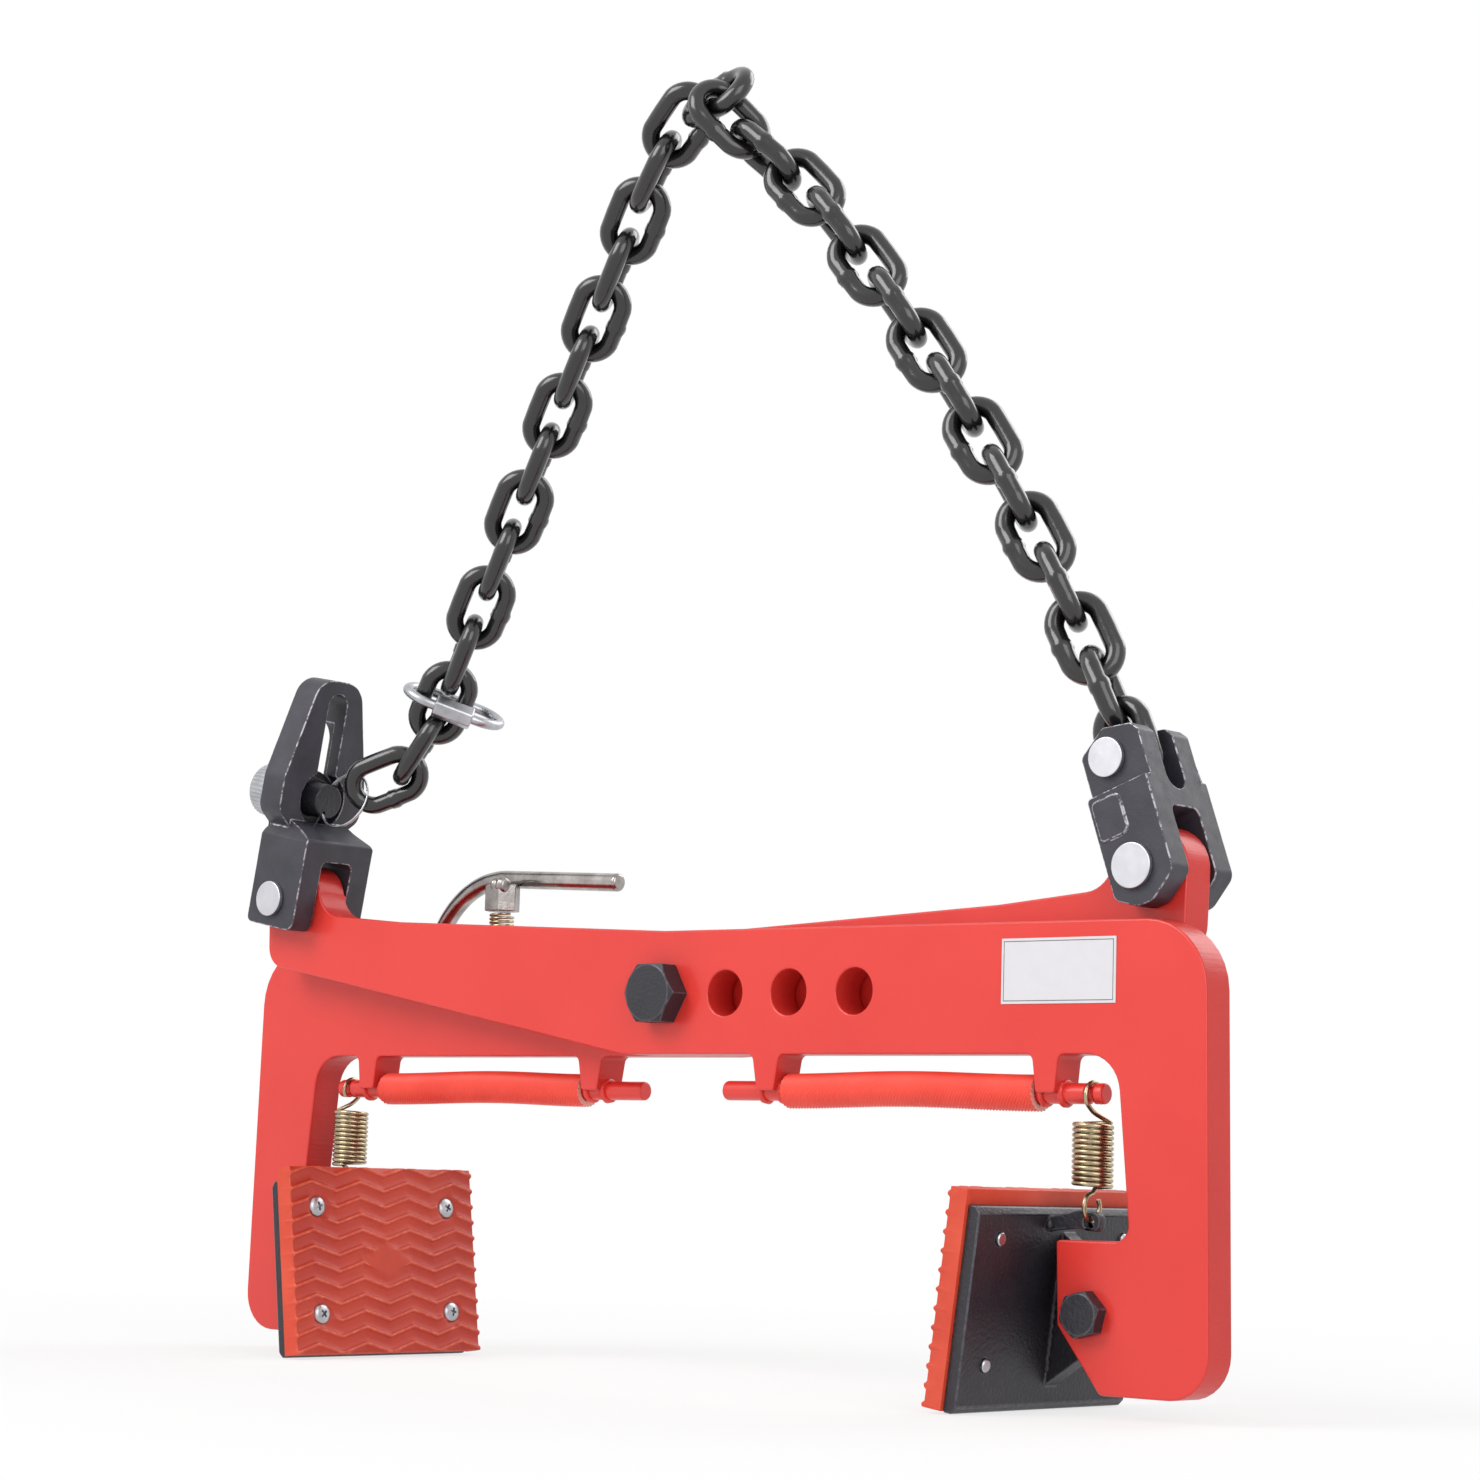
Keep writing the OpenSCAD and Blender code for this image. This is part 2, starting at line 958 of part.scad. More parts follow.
module quick_link_nut() {
    bow = (quick_width - quick_wire) / 2;
    color("silver")
        quick_frame()
            translate([0, -bow, -quick_nut_length / 2])
                difference() {
                    cylinder(d = 9.5 / cos(30), h = quick_nut_length, $fn = 6);
                    translate([0, 0, -1])
                        cylinder(d = quick_wire + 2 * play, h = quick_nut_length + 2);
                }
}

// Latch behind the beam, on the back arm

lever_y = 21;
lever_bend_centre = [-132.3, 11];
lever_bend_radius = 44;
lever_pivot = lever_bend_centre + lever_bend_radius * [cos(174), sin(174)];
latch_nut_at = [-123.6, 11.5, 39.6];

module latch_lever() {
    color("silver")
        front_side()
            translate([0, lever_y, 0]) {
                difference() {
                    union() {
                        translate([lever_bend_centre.x, 0, lever_bend_centre.y])
                            rotate([0, -87, 0])
                                rotate([90, 0, 0]) {
                                    rotate_extrude(angle = 87, start = 0)
                                        translate([lever_bend_radius, 0])
                                            circle(d = lever_diameter);
                                    translate([lever_bend_radius, 0, 0])
                                        rotate([90, 0, 0])
                                            cylinder(d = lever_diameter, h = 69);
                                }
                        bar_y(18, -4.2, 4.2, lever_pivot);
                    }
                    bar_y(8 + 2 * play, -5, 5, lever_pivot);
                }
            }
}

module latch_nut() {
    color("silver")
        front_side()
            translate(latch_nut_at)
                hexagon(14, 12.2, 1.2);
}

module latch_stud() {
    color("gray")
        front_side()
            translate([latch_nut_at.x, latch_nut_at.y, 18.2])
                cylinder(d = 7, h = 14);
}

module latch_spring() {
    wire = 1.8;
    turns = 4;
    base = 26.1;
    step = (latch_nut_at.z - base - wire - 0.2) / (turns - 1);
    color("goldenrod")
        front_side()
            translate([latch_nut_at.x, latch_nut_at.y, base + wire / 2])
                rotate_extrude() {
                    for (i = [0:turns - 1])
                        translate([4.7, i * step])
                            circle(d = wire);
                    translate([4.4, 0])
                        square([0.6, (turns - 1) * step]);
                }
}

module latch_pivot_bolt() {
    color("dimgray")
        front_side() {
            bar_y(8, -arm_front - 12, lever_y + 4.3, lever_pivot);
            translate([lever_pivot.x, lever_y + 4.3, lever_pivot.y])
                rotate([-90, 0, 0])
                    hexagon(13, 5);
        }
}

// Each node by its name

front_arm();
pivot_bolt();
pivot_bush();
pivot_spacer();
pivot_nut();
front_handle_rod();
front_handle_sleeve();
label_plate();
back_arm();
back_handle_rod();
back_handle_sleeve();
right_pad_carrier();
right_pad_rubber();
right_pad_screws();
right_pad_bolt();
right_pad_nut();
right_pad_spring();
left_pad_carrier();
left_pad_rubber();
left_pad_screws();
left_pad_bolt();
left_pad_nut();
left_pad_spring();
keyhole_fork();
keyhole_fork_pin();
locking_plunger();
split_ring();
chain_coupling();
coupling_lug_pin();
coupling_link_pin();
left_chain_leg();
right_chain_leg();
top_link();
quick_link();
quick_link_nut();
latch_lever();
latch_nut();
latch_stud();
latch_spring();
latch_pivot_bolt();
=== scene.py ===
# %% [markdown]
# # A scissor clamp for lifting stone
# Two red steel arms cross on one bolt, grip a stone between two rubber pads, and
# hang from a black chain. Every solid part comes from the CAD model, so this
# lesson is about looks: softened edges, real coil springs, a welded chain, ribbed
# handles, and paint, rubber and plating that behave like the real ones.

import json
import math

import bpy
from mathutils import Matrix, Vector


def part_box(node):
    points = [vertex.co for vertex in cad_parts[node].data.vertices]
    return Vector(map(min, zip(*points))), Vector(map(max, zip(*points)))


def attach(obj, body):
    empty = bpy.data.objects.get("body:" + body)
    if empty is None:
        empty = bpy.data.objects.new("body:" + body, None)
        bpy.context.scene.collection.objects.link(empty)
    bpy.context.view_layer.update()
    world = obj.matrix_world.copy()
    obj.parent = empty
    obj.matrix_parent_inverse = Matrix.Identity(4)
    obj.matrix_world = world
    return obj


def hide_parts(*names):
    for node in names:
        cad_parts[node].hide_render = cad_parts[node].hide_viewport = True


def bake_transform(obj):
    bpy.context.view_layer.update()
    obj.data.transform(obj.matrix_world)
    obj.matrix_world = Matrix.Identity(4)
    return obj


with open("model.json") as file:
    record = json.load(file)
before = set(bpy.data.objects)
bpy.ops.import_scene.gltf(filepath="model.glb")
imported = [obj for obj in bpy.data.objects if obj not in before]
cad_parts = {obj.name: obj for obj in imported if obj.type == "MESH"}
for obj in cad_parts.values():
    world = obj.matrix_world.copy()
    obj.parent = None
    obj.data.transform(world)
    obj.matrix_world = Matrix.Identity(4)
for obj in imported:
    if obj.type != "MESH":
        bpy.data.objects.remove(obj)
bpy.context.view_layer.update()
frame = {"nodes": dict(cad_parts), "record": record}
nodes = frame["nodes"]
MM = 0.001
joints = frame["record"]["behaviour"]["joints"]
joint_at = {joint["name"]: Vector(joint["pos_m"]) for joint in joints if "pos_m" in joint}

# %% [markdown]
# ## Camera
# The photographer stood low, a little below the main bolt, and looked slightly up
# with a long lens. The place, the three angles and the lens were fitted to the
# bolt holes, the pads and the chain, so the picture can be laid over the photograph.

# %% Camera
FROM_BOLT = (0.9768, -1.0908, -0.0727)
TURN, TILT, ROLL = (math.radians(angle) for angle in (41.13, 7.058, 1.647))
LENS_MM, SENSOR_MM = 84.96, 36


def aim_camera():
    """A camera with its angles given as they would be read off a tripod's head."""
    level = Vector((-math.sin(TURN), math.cos(TURN), 0))
    ahead = level * math.cos(TILT) + Vector((0, 0, math.sin(TILT)))
    right = Vector((math.cos(TURN), math.sin(TURN), 0))
    up = right.cross(ahead)
    across = right * math.cos(ROLL) + up * math.sin(ROLL)
    above = up * math.cos(ROLL) - right * math.sin(ROLL)
    bpy.ops.object.camera_add(location=joint_at["scissor"] + Vector(FROM_BOLT))
    camera = bpy.context.object
    axes = Matrix((across, above, -ahead)).transposed().to_4x4()
    camera.matrix_world = Matrix.Translation(camera.location) @ axes
    camera.data.lens = LENS_MM
    camera.data.sensor_width = SENSOR_MM
    camera.data.clip_start = 0.05
    return camera


bpy.context.scene.camera = aim_camera()
print("camera at", [round(v, 3) for v in bpy.context.scene.camera.location])

# %% [markdown]
# ## Colours and nodes
# Blender's sockets take linear light, while a colour picker shows sRGB. One
# function turns a hex colour into linear numbers. A second one adds a node with
# its settings and its inputs, so that each material reads as a short recipe.

# %% Helpers for materials
def srgb(code):
    """Linear red, green, blue and alpha of an sRGB hex colour."""
    parts = [int(code[i:i + 2], 16) / 255 for i in (1, 3, 5)]
    return tuple(p / 12.92 if p <= 0.04045 else ((p + 0.055) / 1.055) ** 2.4 for p in parts) + (1.0,)


def add_node(tree, kind, inputs=(), **settings):
    """A node of that kind. inputs gives each socket a value or another node's output."""
    node = tree.nodes.new(kind)
    for name, value in settings.items():
        setattr(node, name, value)
    for socket, value in dict(inputs).items():
        if isinstance(value, bpy.types.NodeSocket):
            tree.links.new(value, node.inputs[socket])
        else:
            node.inputs[socket].default_value = value
    return node


def new_material(name, **constants):
    """A material with one shader whose plain numbers are set on its own sockets."""
    material = bpy.data.materials.new(name)
    material.use_nodes = True
    shader = material.node_tree.nodes["Principled BSDF"]
    for socket, value in constants.items():
        shader.inputs[socket.replace("_", " ")].default_value = value
    return material, material.node_tree, shader


def per_mm(size):
    """The noise scale that gives blotches or grains of about that many millimetres."""
    return 1000 / size


print("white is", [round(v, 3) for v in srgb("#FFFFFF")])

# %% [markdown]
# Most finishes here are two or three close tones that drift into each other, a
# sheen that wanders in wider patches, and a fine relief on top. One function builds
# these layers, so each finish below is only a list of real sizes and colours.
# A grain is given as its size in millimetres, the detail in it, and, where they
# matter, how it is stretched and how rough it is.

# %% Layers of a finish
def grains(tree, size_mm, detail, stretch=None, rough=0.5):
    """Noise with grains of that size. stretch scales X, Y and Z first."""
    place = add_node(tree, "ShaderNodeTexCoord").outputs["Object"]
    if stretch is not None:
        mapping = add_node(tree, "ShaderNodeMapping", {"Vector": place, "Scale": stretch})
        place = mapping.outputs["Vector"]
    inputs = {"Vector": place, "Scale": per_mm(size_mm), "Detail": detail, "Roughness": rough}
    return add_node(tree, "ShaderNodeTexNoise", inputs).outputs["Fac"]


def layered(name, tones, sheen, skins, **constants):
    """tones is a grain and its stops, each a place and a hex colour. sheen is a grain and the
    roughness at its two ends. skins are grains with their relief's depth in millimetres and
    strength, the lowest first."""
    material, tree, shader = new_material(name, **constants)
    grain, stops = tones
    ramp = add_node(tree, "ShaderNodeValToRGB", {"Fac": grains(tree, *grain)})
    band = ramp.color_ramp
    while len(band.elements) < len(stops):
        band.elements.new(0.5)
    for element, (place, code) in zip(band.elements, stops):
        element.position = place
        element.color = srgb(code)
    tree.links.new(ramp.outputs["Color"], shader.inputs["Base Color"])
    grain, low, high = sheen
    ends = {"Value": grains(tree, *grain), "To Min": low, "To Max": high}
    span = add_node(tree, "ShaderNodeMapRange", ends)
    tree.links.new(span.outputs["Result"], shader.inputs["Roughness"])
    below = {}
    for grain, depth_mm, strength in skins:
        height = {"Height": grains(tree, *grain), "Strength": strength, "Distance": depth_mm * MM}
        bump = add_node(tree, "ShaderNodeBump", {**height, **below})
        below = {"Normal": bump.outputs["Normal"]}
    tree.links.new(bump.outputs["Normal"], shader.inputs["Normal"])
    return material


print("a grain of 2 mm is noise scale", per_mm(2))

# %% [markdown]
# ## Red enamel
# The arms are thick plate, flame cut and sprayed with red enamel. Wet paint pulls
# itself round every edge and dries with a faint orange peel, which shows only where
# a lamp is mirrored in it. Real orange peel is 1 to 2 mm wide, and it is drawn at
# 3 mm so that it shows at all. Wider runs lie under it. The cut sides keep the drag
# lines of the flame under the paint, so they get their own duller version, with
# lines that run across the plate. Their red is also a shade darker, and that darker
# red is painted shade on the faces that don't look forward or back.

# %% Red enamel
ENAMEL = {"sheen": ((9, 3), 0.3, 0.44), "IOR": 1.5, "Coat_Roughness": 0.12}
peel = ((3.2, 2), 0.25, 0.25)
runs = ((26, 2), 1.6, 0.16)
drag_lines = ((1.7, 2, (1, 0.06, 1)), 0.35, 0.55)
red_enamel = layered(
    "red_enamel_sprayed", ((70, 3), ((0.3, "#DB3128"), (0.7, "#E23830"))),
    skins=(peel, runs), Coat_Weight=0.25, **ENAMEL,
)
side_enamel_with_painted_shade = layered(
    "red_enamel_on_flame_cut_side_with_painted_shade", ((70, 3), ((0.3, "#C42D28"), (0.7, "#D03630"))),
    skins=(peel, runs, drag_lines), Coat_Weight=0.05, Specular_IOR_Level=0.3, **ENAMEL,
)
print(red_enamel.name, side_enamel_with_painted_shade.name)

# %% [markdown]
# ## Black finishes
# Three different blacks are on the clamp. The two chain fittings are forged, so
# their black paint lies on a pitted skin and is knocked off along the edges down to
# bright steel. The pad plates and bolts are powder coated, which dries as a fine
# even orange peel: grains of half a millimetre, drawn at 1.4 mm to show. Their rims
# are a little paler, partly where handling polishes them and partly as a painted
# highlight along the edges. The chain was dipped, and its thick paint
# shines, which is what the clear coat gives.

# %% Forged, powder coated and dipped black
forged = layered(
    "black_paint_on_forging", ((14, 4), ((0.3, "#2A2930"), (0.72, "#3A3943"))),
    ((4, 3), 0.34, 0.58), (((0.9, 3, None, 0.65), 0.3, 0.3), ((9, 2), 1.0, 0.2)), IOR=1.5,
)
powder = layered(
    "black_powder_coat", ((18, 3), ((0.3, "#1F1F26"), (0.7, "#292930"))),
    ((6, 2), 0.36, 0.5), (((1.4, 2), 0.5, 0.6),), IOR=1.5,
)
rubbed_and_highlit_coat = layered(
    "powder_coat_edges_rubbed_and_painted_highlight",
    ((3, 4, None, 0.6), ((0.35, "#34343C"), (0.55, "#4A4951"), (0.75, "#65636B"))),
    ((3, 3), 0.26, 0.4), (((1.4, 2), 0.3, 0.4),), IOR=1.5,
)
dipped = layered(
    "black_dipped_paint", ((9, 3), ((0.3, "#0B0A0D"), (0.72, "#131216"))),
    ((5, 3), 0.16, 0.34), (((3.5, 2), 0.5, 0.3),), IOR=1.5, Coat_Weight=0.6, Coat_Roughness=0.08,
)
print(forged.name, powder.name, rubbed_and_highlit_coat.name, dipped.name)

# %% [markdown]
# On the worn edges of the forgings one grain decides everything. Where it is low
# there is paint, and where it is high there is bare steel, which is paler,
# smoother and a metal.

# %% Worn edge
chips, paint_ends, steel_starts = (2.6, 5, None, 0.7), 0.46, 0.52
worn = layered(
    "worn_edge_of_forging",
    (chips, ((0, "#3B3A42"), (paint_ends, "#45444C"), (steel_starts, "#A5A3A9"), (1, "#CFCDD2"))),
    (chips, 0.5, 0.35), ((chips, 0.3, 0.4),), IOR=1.5,
)
edge_tree = worn.node_tree
bare = add_node(edge_tree, "ShaderNodeMapRange", {
    "Value": grains(edge_tree, *chips), "From Min": paint_ends, "From Max": steel_starts, "To Max": 0.7,
})
edge_tree.links.new(bare.outputs["Result"], edge_tree.nodes["Principled BSDF"].inputs["Metallic"])
print(worn.name)

# %% [markdown]
# ## Rubber
# The pads are moulded polyurethane rubber. It is a little clear, so light goes some
# millimetres in and corners look warmer. Its moulded skin is deep red, its sawn
# sides are matt and a shade lighter, and the tops of its ribs and its rim are lighter
# still, partly rubbed and partly a painted highlight that lifts the ribs. The
# handle sleeves are lengths of ribbed hose with a soft sheen and paler cut ends.

# %% Rubber
CLEAR = {"Subsurface_Weight": 0.12, "Subsurface_Scale": 0.004, "Subsurface_Radius": (1, 0.3, 0.15)}
THIN = {"Subsurface_Weight": 0.2, "Subsurface_Scale": 0.003, "Subsurface_Radius": (1, 0.35, 0.2)}
HOSE = {"sheen": ((6, 3), 0.4, 0.55), "skins": (((0.9, 2), 0.15, 0.35),), "IOR": 1.5}
pad_rubber = layered(
    "moulded_polyurethane_rubber", ((34, 4), ((0.3, "#B3301F"), (0.7, "#C23D24"))),
    ((8, 3), 0.4, 0.56), (((1.1, 3), 0.2, 0.3),), IOR=1.5, **CLEAR,
)
cut_side = layered(
    "cut_side_of_rubber", ((20, 4), ((0.3, "#D2432A"), (0.7, "#DE5236"))),
    ((8, 3), 0.45, 0.6), (((1.0, 2, (1, 1, 0.2)), 0.2, 0.35),), IOR=1.5, **CLEAR,
)
rubbed_and_highlit_ribs = layered(
    "rubber_rib_tops_rubbed_and_painted_highlight", ((3, 4), ((0.3, "#C23F27"), (0.55, "#CE5436"), (0.8, "#DB7656"))),
    ((2, 3), 0.38, 0.6), (((1.1, 3), 0.2, 0.3),), IOR=1.5, **THIN,
)
hose = layered("ribbed_hose_rubber", ((22, 3), ((0.3, "#EC4534"), (0.7, "#F6513F"))), **HOSE)
hose_end = layered("cut_end_of_hose", ((22, 3), ((0.3, "#D98F80"), (0.7, "#EBB4A6"))), **HOSE)
print(pad_rubber.name, cut_side.name, rubbed_and_highlit_ribs.name, hose.name, hose_end.name)

# %% [markdown]
# ## Plated metal
# Zinc plating is a soft grey with cloudy patches, and brighter on the turned pins.
# The springs were also dipped in yellow chromate, whose film changes from straw to a
# hint of brown with its thickness. The latch lever is chromed and slightly scuffed,
# and the weld on its nut is duller and rougher. All are metals, so their colour is
# what tints the reflections.

# %% Plated metal
def plated(name, stops, low, high, scuff_mm=1.2, depth_mm=0.12):
    skins = (((scuff_mm, 3), depth_mm, 0.35),)
    return layered(name, ((7, 4), stops), ((3, 4), low, high), skins, Metallic=1.0)


straw_to_brown = ((0.25, "#84705A"), (0.5, "#B9AA8B"), (0.75, "#927B66"))
zinc = plated("zinc_plate", ((0.3, "#A3A4A8"), (0.7, "#C3C4C8")), 0.26, 0.42)
yellow_zinc = plated("yellow_chromate_on_zinc", straw_to_brown, 0.2, 0.34)
pin_tones = ((0.3, "#CDCDD2"), (0.7, "#D8D8DD"))
pin_zinc = plated("bright_zinc_on_turned_pin", pin_tones, 0.3, 0.42, 1.6, 0.06)
weld_grey = plated("bright_weld_metal", ((0.3, "#7F7B78"), (0.7, "#AAA5A2")), 0.2, 0.45, 1.0, 0.3)
chrome = plated("chrome_plate", ((0.3, "#8E8885"), (0.7, "#BDB7B4")), 0.12, 0.3, 2.5, 0.1)
print(zinc.name, yellow_zinc.name, pin_zinc.name, weld_grey.name, chrome.name)

# %% [markdown]
# ## Label
# A bare white film sticker. Film is never quite flat on paint, so it gets a very
# shallow wave and a faint mottle. Its printed border is a thin grey line.

# %% Label film
FILM = {"sheen": ((12, 2), 0.3, 0.42), "skins": (((16, 1), 0.3, 0.2),), "IOR": 1.5}
film = layered("white_label_film", ((5, 3), ((0.3, "#D8D7DB"), (0.7, "#DBDADE"))), **FILM)
ink = layered("grey_label_border", ((5, 3), ((0.3, "#6A6669"), (0.7, "#767276"))), **FILM)
print(film.name, ink.name)

# %% [markdown]
# ## One finish for each CAD part
# The CAD record names a material slot for each part and lists the parts of each
# moving body. Both lists are kept, because new pieces take their finish and their
# body from the part that they belong to.

# %% Finishes of the CAD parts
finishes = {
    "red_paint": red_enamel,
    "black_coat": powder,
    "black_chain": dipped,
    "pad_rubber": pad_rubber,
    "handle_rubber": hose,
    "yellow_zinc": yellow_zinc,
    "zinc": zinc,
    "chrome": chrome,
    "label": film,
}
slot_of = {entry["node"]: entry["material_slot"] for entry in frame["record"]["subparts"]}
body_of = {}
for body, names in frame["record"]["behaviour"]["bodies"].items():
    body_of.update(dict.fromkeys(names, body))
for name, slot in slot_of.items():
    nodes[name].data.materials.clear()
    nodes[name].data.materials.append(finishes[slot])
print("finishes:", len(finishes), "for", len(slot_of), "parts")

# %% [markdown]
# ## Working on one piece at a time
# An operator acts on everything that is selected, so each piece starts with an
# empty selection. Small helpers keep that tidy: one picks a single object, one adds
# a primitive with nothing else selected, and one selects points by a test.

# %% Helpers for selecting
def pick(piece):
    """Selects only this object and makes it active."""
    bpy.ops.object.select_all(action="DESELECT")
    piece.hide_set(False)
    piece.select_set(True)
    bpy.context.view_layer.objects.active = piece


def begin(primitive, **sizes):
    """Adds a primitive as the start of a piece, with nothing else selected."""
    bpy.ops.object.select_all(action="DESELECT")
    primitive(**sizes)
    return bpy.context.object


def edit(piece):
    """Opens edit mode with all of the mesh selected."""
    pick(piece)
    bpy.ops.object.mode_set(mode="EDIT")
    bpy.ops.mesh.select_mode(type="VERT")
    bpy.ops.mesh.select_all(action="SELECT")


def leave():
    bpy.ops.object.mode_set(mode="OBJECT")


def select_where(piece, test):
    """In edit mode, selects only the points whose place passes the test."""
    bpy.ops.mesh.select_mode(type="VERT")
    bpy.ops.mesh.select_all(action="DESELECT")
    leave()
    for vertex in piece.data.vertices:
        vertex.select = bool(test(vertex.co))
    bpy.ops.object.mode_set(mode="EDIT")


def pull(x, y, z):
    """Extrudes what is selected by a step in millimetres."""
    bpy.ops.mesh.extrude_region_move(TRANSFORM_OT_translate={"value": (x * MM, y * MM, z * MM)})


print("selected by loading the frame:", len(bpy.context.selected_objects))

# %% [markdown]
# A finished piece is one object at the origin with its place in its mesh, so three
# more helpers apply a modifier, set a mesh in its place, and hand the piece over to
# its body. A repeated shape is modelled once, and each copy has its own mesh.

# %% Helpers for finishing
def apply(piece, kind, **settings):
    """Adds one modifier with its settings and applies it."""
    modifier = piece.modifiers.new(kind.lower(), kind)
    for name, value in settings.items():
        setattr(modifier, name, value)
    pick(piece)
    bpy.ops.object.modifier_apply(modifier=modifier.name)


def copy_of(piece, name):
    copy = bpy.data.objects.new(name, piece.data.copy())
    bpy.context.scene.collection.objects.link(copy)
    return copy


def place(piece, matrix):
    """Moves a finished mesh to its place and leaves the object at the origin."""
    piece.matrix_world = matrix
    pick(piece)
    bpy.ops.object.transform_apply(location=True, rotation=True, scale=True)
    return piece


def finish(piece, node, name=None, smooth=35, between=None):
    """Gives the piece its body and its finish from the node it belongs to. A piece that
    stretches, given with between, gets no body and keeps its place in its mesh; the
    other body and the two points in between are not used."""
    pick(piece)
    bpy.ops.object.shade_smooth_by_angle(angle=math.radians(smooth))
    if name is not None:
        piece.name = name
    if not piece.data.materials:
        piece.data.materials.append(finishes[slot_of[node]])
    if between is None:
        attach(piece, body_of[node])
    else:
        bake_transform(piece)


print("bodies:", sorted(set(body_of.values())))

# %% [markdown]
# ## Places
# Places are worked out from the frame: from its joints, or from the middle of a CAD
# part. The clamp is the same after half a turn, so a piece that is made for the
# right side of the front arm also serves the back arm.

# %% Places
def turned(axis, degrees):
    return Matrix.Rotation(math.radians(degrees), 4, axis)


def moved(x, y, z):
    """A move in millimetres."""
    return Matrix.Translation(Vector((x, y, z)) * MM)


def from_bolt(node):
    """The middle of a CAD part, in millimetres from the main bolt."""
    low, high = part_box(node)
    return ((low + high) / 2 - joint_at["scissor"]) / MM


PAD_TILT, LOOP_LEAN = 7.5, 10.9
AXLE = Matrix.Translation(joint_at["scissor"])
PAD = Matrix.Translation(joint_at["right_pad_tilt"]) @ turned("Y", PAD_TILT)
LOOP = Matrix.Translation(joint_at["left_chain_swing"]) @ turned("Y", LOOP_LEAN)
SIDES = {"right": Matrix.Identity(4), "left": turned("Z", 180)}
ARMS = {"front": SIDES["right"], "back": SIDES["left"]}
print("the main bolt is", round(AXLE.translation.z / MM, 1), "mm above the floor")

# %% [markdown]
# ## Softened edges
# No real edge is perfectly sharp: paint rounds plate, and forging and casting leave
# a radius. A copy of each CAD part is cleaned of its loose triangles and given a
# small bevel on its sharp edges, and weighted normals keep the flat faces flat. On
# the forgings the bevel strip also gets the worn finish, because that is where
# black paint is knocked off first.

# %% Soften the plates and forgings
def soften(node, width, segments=2, edge=None, sharp=34, sides=None, merge=0.1):
    """Stands a copy with bevelled edges in the node's place. edge is a finish for the
    bevels, and sides is one for the faces that don't look forward or back."""
    piece = copy_of(nodes[node], node + "_soft")
    piece.data.materials.clear()
    piece.data.materials.append(finishes[slot_of[node]])
    edit(piece)
    bpy.ops.mesh.remove_doubles(threshold=merge * MM)
    bpy.ops.mesh.dissolve_limited(angle_limit=math.radians(0.6))
    leave()
    if edge is not None:
        piece.data.materials.append(edge)
    apply(
        piece, "BEVEL", width=width * MM, segments=segments, limit_method="ANGLE",
        angle_limit=math.radians(sharp), use_clamp_overlap=False, miter_outer="MITER_ARC",
        material=-1 if edge is None else 1,
    )
    if sides is not None:
        piece.data.materials.append(sides)
        for face in piece.data.polygons:
            if abs(face.normal.y) < 0.5:
                face.material_index = len(piece.data.materials) - 1
    bpy.ops.object.shade_smooth_by_angle(angle=math.radians(sharp))
    apply(piece, "WEIGHTED_NORMAL", keep_sharp=True)
    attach(piece, body_of[node])
    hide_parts(node)
    return piece


# The faces that don't look forward or back get the darker red, which is painted shade.
for name in ("front_arm", "back_arm"):
    soften(name, 0.9, 3, sides=side_enamel_with_painted_shade, merge=0.5)
for name in ("keyhole_fork", "chain_coupling"):
    soften(name, 0.5, edge=worn).data.materials[0] = forged
# Their bevels get the paler coat, partly rubbed and partly a painted highlight.
for name in ("right_pad_carrier", "left_pad_carrier"):
    soften(name, 0.7, edge=rubbed_and_highlit_coat)

# %% [markdown]
# The smaller hardware gets the same care with smaller radii. Bolt heads have a
# paler rim, partly rubbed and partly a painted highlight, and turned pins and round
# bars have a light break on theirs.

# %% Soften the hardware
bolts = ("pivot_bolt", "pivot_nut", "right_pad_bolt", "left_pad_bolt", "right_pad_nut", "left_pad_nut")
for name in bolts + ("latch_pivot_bolt",):
    soften(name, 0.35, edge=rubbed_and_highlit_coat, sharp=25)
for name in ("keyhole_fork_pin", "coupling_lug_pin", "coupling_link_pin"):
    soften(name, 0.45).data.materials[0] = pin_zinc
for name in ("pivot_spacer", "latch_stud"):
    soften(name, 0.45)
soften("latch_nut", 0.45).data.materials[0] = weld_grey
for name in ("front_handle_rod", "back_handle_rod"):
    soften(name, 1.0, 3)
soften("latch_lever", 1.6, 3)
soften("quick_link_nut", 0.8)
soften("label_plate", 0.12)

# %% [markdown]
# ## Chain
# Round-link chain is bent from 8 mm bar and butt welded in the middle of one side.
# One link is shaped from a ring whose halves are pulled apart, and the weld is a
# slightly swollen, uneven collar. Each of the 31 links is then a copy with its own
# mesh, set between the same two points as in the CAD model.

# %% One welded link
BAR_RADIUS, BEND_RADIUS, HALF_STRAIGHT = 4, 9.5, 6.65


def welded_link():
    link = begin(
        bpy.ops.mesh.primitive_torus_add, major_radius=BEND_RADIUS * MM, minor_radius=BAR_RADIUS * MM,
        major_segments=40, minor_segments=18, rotation=(math.pi / 2, 0, 0),
    )
    bpy.ops.object.transform_apply(rotation=True)
    bpy.ops.object.mode_set(mode="EDIT")
    for side in (1, -1):
        select_where(link, lambda p: p.z * side > 0.01 * MM)
        bpy.ops.transform.translate(value=(0, 0, side * HALF_STRAIGHT * MM))
    for level in (-2.6, -1.3, 1.3, 2.6):
        bpy.ops.mesh.select_all(action="SELECT")
        bpy.ops.mesh.bisect(plane_co=(0, 0, level * MM), plane_no=(0, 0, 1))
    select_where(link, lambda p: abs(p.z) < 1.5 * MM and p.x > 0)
    bpy.ops.transform.resize(value=(1.11, 1.11, 1), center_override=(BEND_RADIUS * MM, 0, 0))
    bpy.ops.transform.vertex_random(offset=0.22 * MM, uniform=0.4, seed=4)
    leave()
    return link


link = welded_link()
print("one link:", len(link.data.polygons), "faces")

